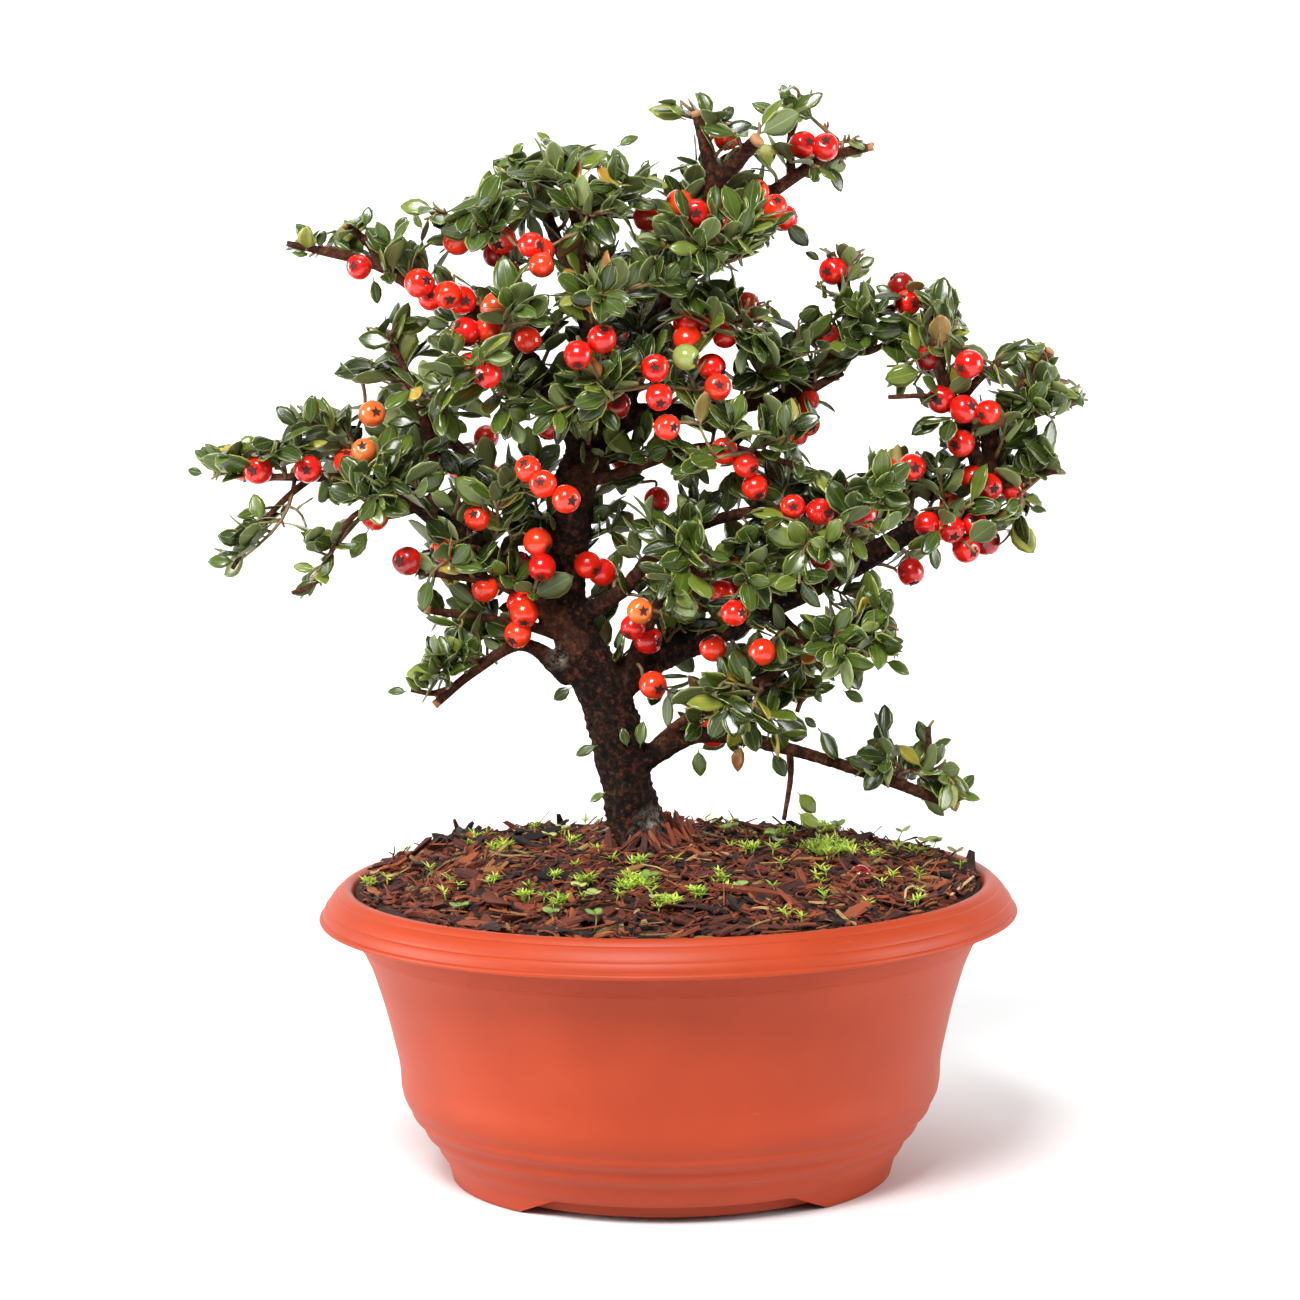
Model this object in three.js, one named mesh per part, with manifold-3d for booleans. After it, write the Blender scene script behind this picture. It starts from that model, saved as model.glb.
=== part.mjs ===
// Cotoneaster bonsai in a round plastic training bowl, in millimetres.
// Built with the bowl's axis at x = y = 0, +Z up, the photo taken from -Y. At the end the whole
// group is moved so that the origin is the middle of its footprint on the floor.
import * as THREE from 'three';
import { mergeVertices } from 'three/addons/utils/BufferGeometryUtils.js';
import Module from 'manifold-3d';

const wasm = await Module();
wasm.setup();

// Driving dimensions
const RIM_RADIUS = 100;
const RIM_HEIGHT = 85.2;
const BOWL_FACETS = 24;
const FOOT_HEIGHT = 5.5;
const FOOT_INNER_RADIUS = 60.8;
const NOTCH_HALF_WIDTH_FLOOR = 43.2;
const NOTCH_HALF_WIDTH_TOP = 32.9;
const DRAIN_HOLES = 5;
const DRAIN_HOLE_RADIUS = 4.5;
const DRAIN_CIRCLE_RADIUS = 38;
const FIT_GAP = 0.3;
const STEM_TRIES = 40;
const SHOOT_TRIES = 60;
const SOIL_RADIUS = 89.5;
const SOIL_EDGE_HEIGHT = 84;
const SOIL_MOUND = 10.5;
const CHIPS = 12;
const GOLDEN_ANGLE = 2.4;
const LEAF_LENGTH = 14;
const LEAF_HALF_WIDTH = 5;
const LEAF_THICKNESS = 0.9;
const LEAF_FOLD = 0.6;
const TUFT_SET_BACK = 8;
const TUFT_LIFT = 0.6;
const SPUR_RADIUS = 1.35;
const SHOOT_RADIUS = 0.85;
const FOOT_TAPER = 0.7;
const STEM_RADIUS = 1.15;
const BERRY_RADIUS = 4.2;
const BERRY_SPACING = 6.9;
const CALYX_DEPTH = 0.6;
const STALK_RADIUS = 0.7;
const UP = new THREE.Vector3(0, 0, 1);
const SIDE = new THREE.Vector3(0, 1, 0);

// Wall of the bowl: base, three soft ridges, flared side, hollow rolled rim, inside
const BOWL_PROFILE = [
  [0, 1.3], [60.2, 1.3], [60.2, FOOT_HEIGHT], [64.9, FOOT_HEIGHT],
  [68, 11.6], [70.3, 13.6], [71.2, 16.7], [73.9, 18.8], [74.9, 21.8], [76.7, 25],
  [77.8, 34], [81.6, 50], [85.3, 62], [88.5, 68.6],
  [90.6, 78], [94.4, 81.2], [98.2, 75.6],
  [RIM_RADIUS, 75.6], [98.2, 79.6], [95.6, 84], [92.6, RIM_HEIGHT],
  [90, 84], [73.8, 30], [66, 13], [57.5, 8], [57.5, 3.8], [0, 3.8],
];
const FOOT_PROFILE = [
  [FOOT_INNER_RADIUS, 0], [63.3, 0], [63.8, 2], [64.9, FOOT_HEIGHT],
  [66, 7.6], [FOOT_INNER_RADIUS, 7.6], [FOOT_INNER_RADIUS, 0],
];
const SOIL_SIDE = [
  [57.1, 4.2], [57.1, 8.2], [65.6, 13.2], [73.4, 30.2], [SOIL_RADIUS, SOIL_EDGE_HEIGHT],
];

// Trunk and boughs: points as x, y, z and radius
const TRUNK = [
  [-5, 0, 74, 8.8], [-6, 0, 95, 8.8], [-8, 0, 106, 7.9], [-10, 0, 116, 7.5], [-15, 0, 135, 7.8],
  [-19, 0, 142, 7.5], [-26, 0, 157, 6.4], [-28, 0, 165, 6], [-27, -2, 184, 6.1], [-25, -3, 198, 6.2],
  [-20, -1, 209, 6], [-15, 0, 217, 4.8],
];
const BOUGHS = {
  midRight: [[-17, 0, 213, 4.6], [-7, 2, 218, 3.4], [8, 4, 219, 2.5], [35, 6, 222, 2], [52, 9, 229, 1]],
  upperRight: [
    [32, 6, 222, 1.9], [44, 10, 229, 1.8], [54, 14, 243, 2.3], [53, 14, 253, 2], [49, 15, 263, 1.4],
  ],
  upperRightTip: [[53, 14, 243, 1.7], [67, 17, 247, 1.3], [81, 20, 252, 1]],
  bigRight: [
    [-17, 0, 139, 6.4], [-5, 6, 147, 5], [10, 12, 153, 4.3], [39, 16, 166, 4], [56, 16, 174, 3.8],
    [75, 12, 185, 2.9], [88, 8, 190, 2.7], [94, 6, 197, 2.7], [93, 5, 213, 2.4],
  ],
  farUpper: [
    [92, 6, 195, 2.5], [89, 2, 205, 2.3], [84, 0, 218, 2.2], [79, -2, 229, 1.8], [76, 4, 247, 0.9],
  ],
  farLowTip: [[94, 6, 196, 1.9], [105, 3, 199, 1.3], [112, 0, 201, 1]],
  farMidTip: [[93, 5, 209, 1.8], [102, 8, 215, 1.5], [120, 12, 220, 1]],
  farBackTip: [[98, 7, 213, 1.6], [104, 13, 226, 1.4], [112, 17, 234, 1.5]],
  frontRight: [
    [-23, -2, 162, 3.2], [-12, -9, 169, 2.3], [-2, -14, 180, 2.1], [13, -18, 189, 1.8],
    [31, -20, 192, 1.6], [55, -20, 190, 1],
  ],
  arch: [
    [-10, 0, 144, 2.8], [-6, -8, 157, 2.2], [2, -15, 170, 2.1], [9, -18, 175, 2.3], [17, -20, 175, 2.3],
    [25, -21, 170, 2.3], [39, -22, 156, 2.2], [60, -26, 156, 1],
  ],
  grey: [[-2, -3, 125, 2], [6, -11, 133, 1.5], [19, -18, 140, 1.6], [36, -16, 149, 1.2]],
  lowRight: [
    [-11, 0, 117, 4.8], [-3, -3, 122, 3.4], [8, -6, 127, 2.5], [20, -9, 127, 2.3], [44, -12, 121, 1.9],
    [75, -14, 110, 1.8], [82, -14, 107, 1.5],
  ],
  lowRightTwig: [[74, -14, 110, 1.4], [74, -15, 121, 1.1], [74, -15, 130, 0.8]],
  lowHanging: [[35, -11, 123, 1.2], [35, -15, 116, 0.9], [33, -15, 104, 0.7]],
  left: [
    [-28, 0, 161, 5.2], [-38, -3, 171, 3.8], [-50, -7, 180, 3.2], [-66, -8, 192, 2.9],
    [-75, -8, 199, 2.3], [-89, -9, 202, 1.6], [-117, -10, 203, 1],
  ],
  leftUpright: [[-66, -8, 191, 1.8], [-64, -8, 202, 1.5], [-67, -10, 220, 1.6], [-76, -12, 242, 0.9]],
  upperLeft: [
    [-21, -1, 208, 4.8], [-30, -8, 224, 3.4], [-45, -13, 244, 2.5], [-69, -16, 256, 1.9],
    [-79, -17, 262, 1.7], [-103, -20, 268, 0.9],
  ],
  upperLeftStub: [[-77, -17, 261, 1.5], [-81, -17, 268, 1.2], [-87, -18, 273, 1.1]],
  upperLeftRise: [[-44, -13, 243, 2.1], [-42, -9, 256, 1.8], [-48, -8, 266, 1.8], [-63, -8, 275, 1.6]],
  centre: [
    [-17, 0, 213, 4.4], [-17, -4, 226, 3.9], [-19, -6, 240, 3], [-21, -10, 264, 1.7], [-25, -13, 279, 1.3],
  ],
  centreBack: [[-19, -6, 238, 2.4], [-25, 0, 258, 2.1], [-33, 6, 280, 1.8], [-30, 6, 294, 1]],
  leader: [
    [-17, 0, 213, 4.6], [-9, 4, 227, 3.8], [-3, 6, 241, 3.3], [11, 5, 266, 2.8], [15, 3, 284, 2.5],
    [11, 2, 303, 1.6],
  ],
  leaderStub: [[15, 3, 282, 2.4], [22, -1, 289, 2.3], [28, -5, 295, 2.1]],
  topRight: [[10, 5, 265, 2.4], [23, 12, 274, 2.1], [46, 14, 289, 1.6], [61, 14, 293, 1.2]],
  topRightRise: [[38, 14, 284, 1.5], [38, 14, 296, 1.1], [41, 14, 308, 0.8]],
  leaderFront: [[2, 6, 250, 2.2], [10, -9, 259, 1.6], [27, -15, 271, 1]],
  leaderSide: [[-4, 6, 238, 2.2], [11, -3, 244, 1.6], [29, -9, 245, 1]],
  thinRight: [[-23, -4, 200, 2.4], [-13, -8, 202, 1.7], [14, -16, 210, 1.3], [42, -20, 203, 0.8]],
  lowLeft: [[-27, -1, 144, 3.6], [-40, -7, 154, 1.9], [-54, -11, 147, 1.4], [-65, -12, 138, 1.2]],
  orange: [[-29, -3, 157, 2.2], [-45, -12, 171, 1.3], [-69, -16, 176, 0.8]],
  stubLeft: [[-27, -2, 155, 2], [-41, -8, 160, 1.4], [-67, -13, 165, 1.1]],
  backLeft: [[-27, 0, 176, 4.2], [-41, 20, 192, 2.7], [-58, 38, 206, 1.9], [-72, 50, 219, 1.2]],
  backCentre: [[-20, 0, 208, 4.4], [-15, 22, 224, 2.8], [-6, 40, 243, 2], [0, 52, 262, 1.2]],
  backRight: [[-3, 6, 148, 4.2], [10, 28, 160, 2.9], [28, 46, 176, 2.1], [42, 56, 196, 1.3]],
};

// Fruit: where each stalk grows from a bough, then its berries
const BUNCHES = {
  left_tip: [[-102, -10, 203], [-113, -17, 206], [-99, -18, 206], [-95, -2, 209]],
  left: [[-82, -8, 201], [-83, -20, 211], [-88, -16, 206], [-80, -18, 219]],
  left_low: [[-58, -8, 186], [-72, -20, 180], [-51, -21, 191]],
  upper_left_tip: [[-76, -17, 261], [-83, -25, 263], [-66, -27, 257], [-63, -29, 249]],
  upper_left: [[-52, -14, 247], [-53, -28, 243], [-46, -31, 250], [-47, -40, 233]],
  rise: [[-48, -8, 266], [-57, -17, 266], [-44, -19, 262], [-48, 6, 272]],
  centre_top: [[-21, -10, 263], [-34, -30, 266], [-32, -32, 258], [-25, -20, 284]],
  centre: [[-19, -6, 238], [-16, -40, 241], [-23, -42, 235], [-8, -34, 247]],
  middle: [[-18, -4, 222], [-1, -36, 232], [-1, -36, 224.5], [1, -34, 217]],
  trunk: [[-26, -3, 194], [-33, -35, 202], [-36, -31, 208], [-28, -34, 196]],
  trunk_low: [[-33, -4, 158], [-40, -13, 167], [-45, -15, 157], [-34, -19, 177]],
  right_front: [[14, -16, 210], [17, -25, 209], [23, -26, 204], [27, -26, 197]],
  right_mid: [[35, 6, 222], [36, -1, 217], [41, 3, 213], [33, 13, 213]],
  arch: [[31, -22, 164], [19, -36, 165], [27, -31, 155], [-4, -27, 164]],
  front_right: [[38, -20, 192], [36, -28, 194], [44, -29, 191], [46, -14, 184]],
  far_low: [[84, 9, 189], [76, -1, 186], [83, -3, 184], [91, 0, 181]],
  far: [[88, 1, 208], [85, -9, 218], [92, -8, 215], [84, -8, 208]],
  far_top: [[81, -1, 226], [86, -12, 232], [72, 8, 240], [90, 8, 226]],
  upper_right: [[53, 14, 250], [49, 5, 259], [46, 5, 252], [47, 6, 242]],
  leader: [[13, 4, 272], [11, -13, 276], [5, -11, 281], [16, -8, 270]],
  top_right: [[44, 14, 288], [43, 5, 294], [50, 5, 290], [44, 4, 284]],
};
// Leafy shoots: where each one grows from a bough, then the tips it branches to
const SHOOTS = {
  left_tip: [[-98, -10, 203], [-130, -12, 205], [-118, -3, 211], [-110, -18, 215], [-120, -21, 177]],
  left_pad: [[-82, -8, 201], [-103, -12, 219], [-92, -3, 222], [-98, 10, 207], [-72, 20, 211]],
  left_front: [[-76, -8, 199], [-84, -27, 202], [-73, -30, 205], [-101, -28, 171]],
  left_middle: [[-68, -10, 224], [-86, -14, 233], [-80, 10, 228], [-58, -26, 222], [-84, -10, 247]],
  upper_left_tip: [[-82, -17, 263], [-106, -17, 266], [-90, -6, 272]],
  upper_left_rise: [[-54, -8, 270], [-66, -18, 277], [-58, 4, 282], [-44, -26, 271]],
  upper_left_front: [[-45, -13, 244], [-55, -40, 232], [-38, -38, 252], [-43, -32, 218]],
  upper_left_back: [[-38, -11, 236], [-56, 22, 248], [-42, 30, 232]],
  centre_back_top: [[-33, 6, 280], [-42, 10, 290], [-24, 14, 292], [-36, 24, 277]],
  centre_front_top: [[-21, -11, 266], [-18, -30, 273], [-30, -13, 291], [-6, -18, 286]],
  leader_tip: [[12, 2, 296], [3, 6, 304], [22, 6, 302]],
  top_right: [[50, 14, 291], [36, 16, 309], [64, 12, 297], [56, 26, 288]],
  top_right_low: [[20, 10, 272], [34, 4, 272], [16, 26, 282]],
  leader_front: [[16, -12, 264], [32, -20, 271], [19, -28, 258], [4, -26, 263]],
  side_right: [[15, -5, 244], [36, -8, 252], [28, -22, 240], [12, -26, 243]],
  centre_front: [[-19, -7, 244], [-22, -40, 254], [-6, -28, 256]],
  centre_low: [[-17, -4, 228], [-14, -42, 226], [-32, -36, 220], [14, -30, 226]],
  mid_right: [[22, 5, 220], [27, -11, 231], [33, 20, 231], [44, 2, 238]],
  upper_right: [[54, 14, 246], [58, 10, 268], [40, 8, 256], [60, -2, 238]],
  upper_right_tip: [[72, 18, 249], [85, 20, 254], [80, 26, 241], [74, 8, 250]],
  far_rise: [[79, 1, 238], [84, 0, 247], [64, -9, 229], [98, -9, 230]],
  far_tip: [[104, 9, 216], [119, 14, 221], [110, 25, 228], [103, -8, 220]],
  far_low: [[97, 5, 197], [112, 1, 203], [105, 2, 186], [100, 22, 188]],
  big_right: [[70, 13, 182], [60, 0, 202], [76, 12, 206], [60, 36, 186], [92, -6, 177]],
  front_right: [[45, -20, 191], [62, -20, 199], [36, -38, 181], [52, -34, 180]],
  thin_right: [[24, -17, 208], [4, -32, 205], [44, -26, 212]],
  arch: [[13, -19, 175], [-4, -30, 188], [-2, -36, 175], [18, -20, 190], [30, -36, 174]],
  arch_tip: [[47, -24, 155], [64, -26, 163], [60, -20, 148], [46, -38, 160]],
  grey: [[28, -17, 144], [12, -27, 146], [22, -28, 132], [44, -14, 139]],
  low_right: [[24, -9, 126], [38, -14, 134], [10, 4, 135]],
  low_right_tip: [[66, -13, 113], [57, -16, 124], [82, -14, 117], [66, 0, 118]],
  low_left: [[-47, -9, 151], [-66, -16, 148], [-56, 2, 146]],
  left_inner: [[-47, -6, 178], [-64, -24, 178], [-46, -28, 200], [-60, 10, 178]],
  back_left: [[-54, 34, 203], [-72, 56, 226], [-84, 44, 213], [-62, 46, 192]],
  back_centre: [[-7, 38, 241], [2, 58, 268], [-24, 50, 252], [-6, 56, 236]],
  back_right: [[24, 42, 172], [46, 60, 202], [50, 50, 180], [18, 58, 182]],
};

function vector(point) {
  return new THREE.Vector3(point[0], point[1], point[2]);
}

// The same even draw each time for one seed
function draw(seed) {
  let state = seed >>> 0;
  return () => {
    state = (state + 0x6d2b79f5) >>> 0;
    let t = state;
    t = Math.imul(t ^ (t >>> 15), t | 1);
    t ^= t + Math.imul(t ^ (t >>> 7), t | 61);
    return ((t ^ (t >>> 14)) >>> 0) / 4294967296;
  };
}

function shell(geometry) {
  const bare = geometry.clone();
  bare.deleteAttribute('normal');
  bare.deleteAttribute('uv');
  return mergeVertices(bare, 1e-4);
}

function solid(geometry) {
  const merged = shell(geometry);
  const triVerts = new Uint32Array(merged.index.array);
  const vertProperties = new Float32Array(merged.attributes.position.array);
  return new wasm.Manifold(new wasm.Mesh({ numProp: 3, vertProperties, triVerts }));
}

function join(solids) {
  return solids.reduce((whole, next) => whole.add(next));
}

function meshOf(body, name, material) {
  const data = body.getMesh();
  const geometry = new THREE.BufferGeometry();
  geometry.setAttribute('position', new THREE.BufferAttribute(new Float32Array(data.vertProperties), 3));
  geometry.setIndex(new THREE.BufferAttribute(new Uint32Array(data.triVerts), 1));
  geometry.computeVertexNormals();
  const mesh = new THREE.Mesh(geometry, material);
  mesh.name = name;
  return mesh;
}

function turned(profile, facets) {
  const geometry = new THREE.LatheGeometry(profile.map(([r, z]) => new THREE.Vector2(r, z)), facets);
  return geometry.rotateX(Math.PI / 2);
}

// A tapered round bough through points, each with its own radius
function bough(points, facets, steps, swell = 0, rough = 0) {
  const curve = new THREE.CatmullRomCurve3(points.map(vector), false, 'centripetal');
  const frames = curve.computeFrenetFrames(steps, false);
  const geometry = new THREE.CylinderGeometry(1, 1, 1, facets, steps);
  const place = geometry.attributes.position;
  for (let i = 0; i < place.count; i++) {
    const step = Math.round((0.5 - place.getY(i)) * steps);
    const reach = Math.hypot(place.getX(i), place.getZ(i));
    const angle = Math.atan2(place.getX(i), place.getZ(i));
    const along = curve.getUtoTmapping(step / steps) * (points.length - 1);
    const near = Math.min(Math.floor(along), points.length - 2);
    const mixed = THREE.MathUtils.lerp(points[near][3], points[near + 1][3], along - near);
    const bark = rough * Math.sin(angle * 3 + step * 1.7) * Math.cos(angle * 2 - step * 2.3);
    const radius = (mixed + bark + swell) * reach;
    const at = curve.getPointAt(step / steps);
    at.addScaledVector(frames.normals[step], radius * Math.cos(angle));
    at.addScaledVector(frames.binormals[step], -radius * Math.sin(angle));
    if (swell > 0 && step === 0) at.addScaledVector(frames.tangents[0], -swell);
    if (swell > 0 && step === steps) at.addScaledVector(frames.tangents[steps], swell);
    place.setXYZ(i, at.x, at.y, at.z);
  }
  return solid(geometry);
}

// A straight three-sided stem from one point to another, running a little past the end
function stem(from, to, radius, swell = 0) {
  const along = to.clone().sub(from);
  const length = along.length() + radius + swell * 2;
  const geometry = new THREE.CylinderGeometry(radius + swell, radius + swell, length, 3, 1);
  geometry.translate(0, length / 2 - swell, 0);
  geometry.applyQuaternion(new THREE.Quaternion().setFromUnitVectors(SIDE, along.normalize()));
  geometry.translate(from.x, from.y, from.z);
  return solid(geometry);
}

// A shoot from a fork with a tuft of folded, pointed leaves at its end, in one shell
function tuft(fork, hub, axis, count, size, start, random, swell = 0) {
  const turn = new THREE.Quaternion().setFromUnitVectors(UP, axis);
  const points = [];
  const faces = [];
  const add = (x, y, z) => {
    points.push(new THREE.Vector3(x, y, z).applyQuaternion(turn).add(hub));
    return points.length - 1;
  };
  const top = add(0, 0, 0.7 + swell);
  const sector = (Math.PI * 2) / count;
  const notch = SPUR_RADIUS + swell;
  const creases = [];
  for (let i = 0; i < count; i++) {
    const a = start + (i - 0.5) * sector;
    creases.push(add(Math.cos(a) * notch, Math.sin(a) * notch, 0));
  }
  const underside = [];
  for (let i = 0; i < count; i++) {
    const a = start + i * sector + (random() - 0.5) * 0.22;
    const rise = 0.25 + random() * 0.6;
    const length = LEAF_LENGTH * size * (0.86 + random() * 0.26) + swell;
    const half = LEAF_HALF_WIDTH * size * (0.9 + random() * 0.2) + swell;
    const blade = (t, side, lift) => {
      const out = Math.cos(rise) * length * t - Math.sin(rise) * lift;
      const up = Math.sin(rise) * length * t + Math.cos(rise) * lift;
      return add(Math.cos(a) * out - Math.sin(a) * side, Math.sin(a) * out + Math.cos(a) * side, up);
    };
    const before = creases[i];
    const after = creases[(i + 1) % count];
    const nearR = blade(0.36, -half * 0.68, 0.2);
    const wideR = blade(0.7, -half * 0.95, 0.35);
    const tip = blade(1, 0, -0.5);
    const wideL = blade(0.7, half * 0.95, 0.35);
    const nearL = blade(0.36, half * 0.68, 0.2);
    const ribTop = blade(0.52, 0, -LEAF_FOLD + swell);
    const ribBottom = blade(0.52, 0, -LEAF_FOLD - LEAF_THICKNESS - swell);
    const edge = [before, nearR, wideR, tip, wideL, nearL, after];
    for (let k = 0; k < edge.length - 1; k++) {
      faces.push(edge[k], edge[k + 1], ribTop, edge[k + 1], edge[k], ribBottom);
    }
    faces.push(after, top, ribTop, top, before, ribTop);
    underside.push(before, ribBottom);
  }
  const collar = [0, 1, 2].map((side) => {
    const a = start - sector / 2 + (side * 2 + 1) * (Math.PI / 3);
    return add(Math.cos(a) * (SHOOT_RADIUS + swell), Math.sin(a) * (SHOOT_RADIUS + swell), -1.7 - swell);
  });
  const under = hub.clone().addScaledVector(axis, -1.7 - swell);
  const foot = collar.map((corner) => {
    points.push(points[corner].clone().sub(under).multiplyScalar(FOOT_TAPER).add(fork));
    return points.length - 1;
  });
  const round = underside.length;
  for (let j = 0; j < round; j++) {
    const side = Math.floor((j * 3) / round);
    const next = Math.floor(((j + 1) * 3) / round) % 3;
    faces.push(collar[side], underside[(j + 1) % round], underside[j]);
    if (next !== side) faces.push(collar[side], collar[next], underside[(j + 1) % round]);
  }
  for (let side = 0; side < 3; side++) {
    const next = (side + 1) % 3;
    faces.push(collar[side], foot[side], collar[next], collar[next], foot[side], foot[next]);
  }
  faces.push(foot[0], foot[2], foot[1]);
  const geometry = new THREE.BufferGeometry().setFromPoints(points);
  geometry.setIndex(faces);
  return solid(geometry);
}

// A berry with the sunken calyx at its free end
function berry(centre, away, swell = 0) {
  const radius = BERRY_RADIUS + swell;
  const geometry = new THREE.SphereGeometry(radius, 6, 4);
  const place = geometry.attributes.position;
  for (let i = 0; i < place.count; i++) {
    if (place.getY(i) > radius * 0.99) place.setY(i, radius * CALYX_DEPTH);
  }
  geometry.applyQuaternion(new THREE.Quaternion().setFromUnitVectors(SIDE, away));
  geometry.translate(centre.x, centre.y, centre.z);
  return solid(geometry);
}

// Bodies already in place, which the next ones keep clear of
const placed = [];

function boxOf(body) {
  const { vertProperties } = body.getMesh();
  const box = new THREE.Box3();
  for (let i = 0; i < vertProperties.length; i += 3) {
    box.expandByPoint(new THREE.Vector3().fromArray(vertProperties, i));
  }
  return box;
}

function isClear(body, others) {
  const box = boxOf(body);
  return others.every((other) => {
    if (!box.intersectsBox(other.box)) return true;
    return body.intersect(other.body).getMesh().triVerts.length === 0;
  });
}

function keep(body) {
  placed.push({ body, box: boxOf(body) });
  return body;
}

// The first of several placings that stays clear, or nothing
function firstClear(tries, make) {
  for (let attempt = 0; attempt < tries; attempt++) {
    const result = make(attempt);
    if (result) return result;
  }
  return null;
}

function nudge(attempt, random, reach) {
  const far = attempt === 0 ? 0 : reach * Math.sqrt(attempt / 24);
  const side = new THREE.Vector3(random() - 0.5, random() - 0.5, random() - 0.5);
  return side.normalize().multiplyScalar(far);
}

// The nearest point on the middle of the trunk or a bough
function nearestOnWood(point) {
  let best = { distance: Infinity };
  for (const points of [TRUNK, ...Object.values(BOUGHS)]) {
    for (let i = 0; i < points.length - 1; i++) {
      const part = new THREE.Line3(vector(points[i]), vector(points[i + 1]));
      const along = part.closestPointToPointParameter(point, true);
      const at = part.at(along, new THREE.Vector3());
      const distance = at.distanceTo(point);
      if (distance < best.distance) best = { distance, at };
    }
  }
  return best.at;
}

// Where a stem towards a point starts, just off the bark
function seatOf(root, towards, radius, wood) {
  const along = towards.clone().sub(root).normalize();
  for (let out = 0.6; out < 14; out += 0.2) {
    const start = root.clone().addScaledVector(along, out);
    if (isClear(stem(start, towards, radius, FIT_GAP * 0.7), [wood])) return start;
  }
  return null;
}

// A stem from a bough to its end, clear of everything else
function placeStem(rootPoint, mean, reach, radius, random, wood, others) {
  const root = nearestOnWood(vector(rootPoint));
  return firstClear(STEM_TRIES, (attempt) => {
    const end = root.clone().lerp(mean, reach + 0.03 * (attempt % 4)).add(nudge(attempt, random, 8));
    const start = seatOf(root, end, radius, wood);
    if (!start || start.distanceTo(end) < 1.5) return null;
    return isClear(stem(start, end, radius, FIT_GAP), others) ? { start, end } : null;
  });
}

// Bowl with its two side feet and drain holes
let bowl = solid(turned(BOWL_PROFILE, BOWL_FACETS));
const notch = new THREE.Shape([
  new THREE.Vector2(-NOTCH_HALF_WIDTH_FLOOR - 2, -1),
  new THREE.Vector2(NOTCH_HALF_WIDTH_FLOOR + 2, -1),
  new THREE.Vector2(NOTCH_HALF_WIDTH_FLOOR, 0),
  new THREE.Vector2(NOTCH_HALF_WIDTH_TOP, FOOT_HEIGHT),
  new THREE.Vector2(-NOTCH_HALF_WIDTH_TOP, FOOT_HEIGHT),
  new THREE.Vector2(-NOTCH_HALF_WIDTH_FLOOR, 0),
]);
const notchCut = new THREE.ExtrudeGeometry(notch, { depth: RIM_RADIUS * 2, bevelEnabled: false });
notchCut.rotateX(Math.PI / 2);
notchCut.translate(0, RIM_RADIUS, 0);
bowl = bowl.add(solid(turned(FOOT_PROFILE, BOWL_FACETS)).subtract(solid(notchCut)));
for (let i = 0; i < DRAIN_HOLES; i++) {
  const a = (i / DRAIN_HOLES) * Math.PI * 2;
  const hole = new THREE.CylinderGeometry(DRAIN_HOLE_RADIUS, DRAIN_HOLE_RADIUS, FOOT_HEIGHT * 2, 6);
  hole.rotateX(Math.PI / 2);
  hole.translate(Math.cos(a) * DRAIN_CIRCLE_RADIUS, Math.sin(a) * DRAIN_CIRCLE_RADIUS, 2);
  bowl = bowl.subtract(solid(hole));
}

// Trunk and boughs as one grown piece
const facetsOf = (points) => (points[0][3] > 4 ? 5 : points[0][3] > 2.2 ? 4 : 3);
const stepsOf = (points) => points.length - 1 + (points[0][3] > 4 ? 1 : 0);
const wood = join([
  bough(TRUNK, 10, 13, 0, 0.5),
  ...Object.values(BOUGHS).map((points) => bough(points, facetsOf(points), stepsOf(points))),
]);

// Mulch: a rough mound with bark chips lying in it and a plain hole for the trunk
const soilRandom = draw(4021);
const soilHeight = (r) => SOIL_EDGE_HEIGHT + SOIL_MOUND * (1 - (r / SOIL_RADIUS) ** 2);
const soilProfile = [[0, 4.1], ...SOIL_SIDE];
for (let ring = 4; ring >= 0; ring--) soilProfile.push([ring * 18, soilHeight(ring * 18)]);
const mound = shell(turned(soilProfile, BOWL_FACETS));
const moundPlace = mound.attributes.position;
for (let i = 0; i < moundPlace.count; i++) {
  const r = Math.hypot(moundPlace.getX(i), moundPlace.getY(i));
  if (moundPlace.getZ(i) < SOIL_EDGE_HEIGHT + 0.1) continue;
  const lump = (soilRandom() - 0.5) * 2.6;
  moundPlace.setZ(i, moundPlace.getZ(i) + lump * (r > 1 ? 1 : 0));
}
let soil = solid(mound);
for (let i = 0; i < CHIPS; i++) {
  const a = i * GOLDEN_ANGLE + soilRandom() * 0.5;
  const reach = 18 + 62 * Math.sqrt((i + 0.5) / CHIPS);
  const chip = new THREE.CylinderGeometry(2.4, 3, 12 + soilRandom() * 9, 3, 1);
  chip.rotateZ(Math.PI / 2 + (soilRandom() - 0.5) * 0.4);
  chip.rotateX(soilRandom() * 2);
  chip.scale(1, 1, 0.6);
  chip.rotateZ(soilRandom() * Math.PI);
  chip.translate(Math.cos(a) * reach, Math.sin(a) * reach, soilHeight(reach) + 0.8);
  soil = soil.add(solid(chip));
}
soil = soil.subtract(bough(TRUNK, 10, 13, FIT_GAP, 0.5));
const bowlRoom = { body: bowl, box: boxOf(bowl) };
const soilRoom = { body: soil, box: boxOf(soil) };
const woodBody = { body: wood, box: boxOf(wood) };

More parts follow.
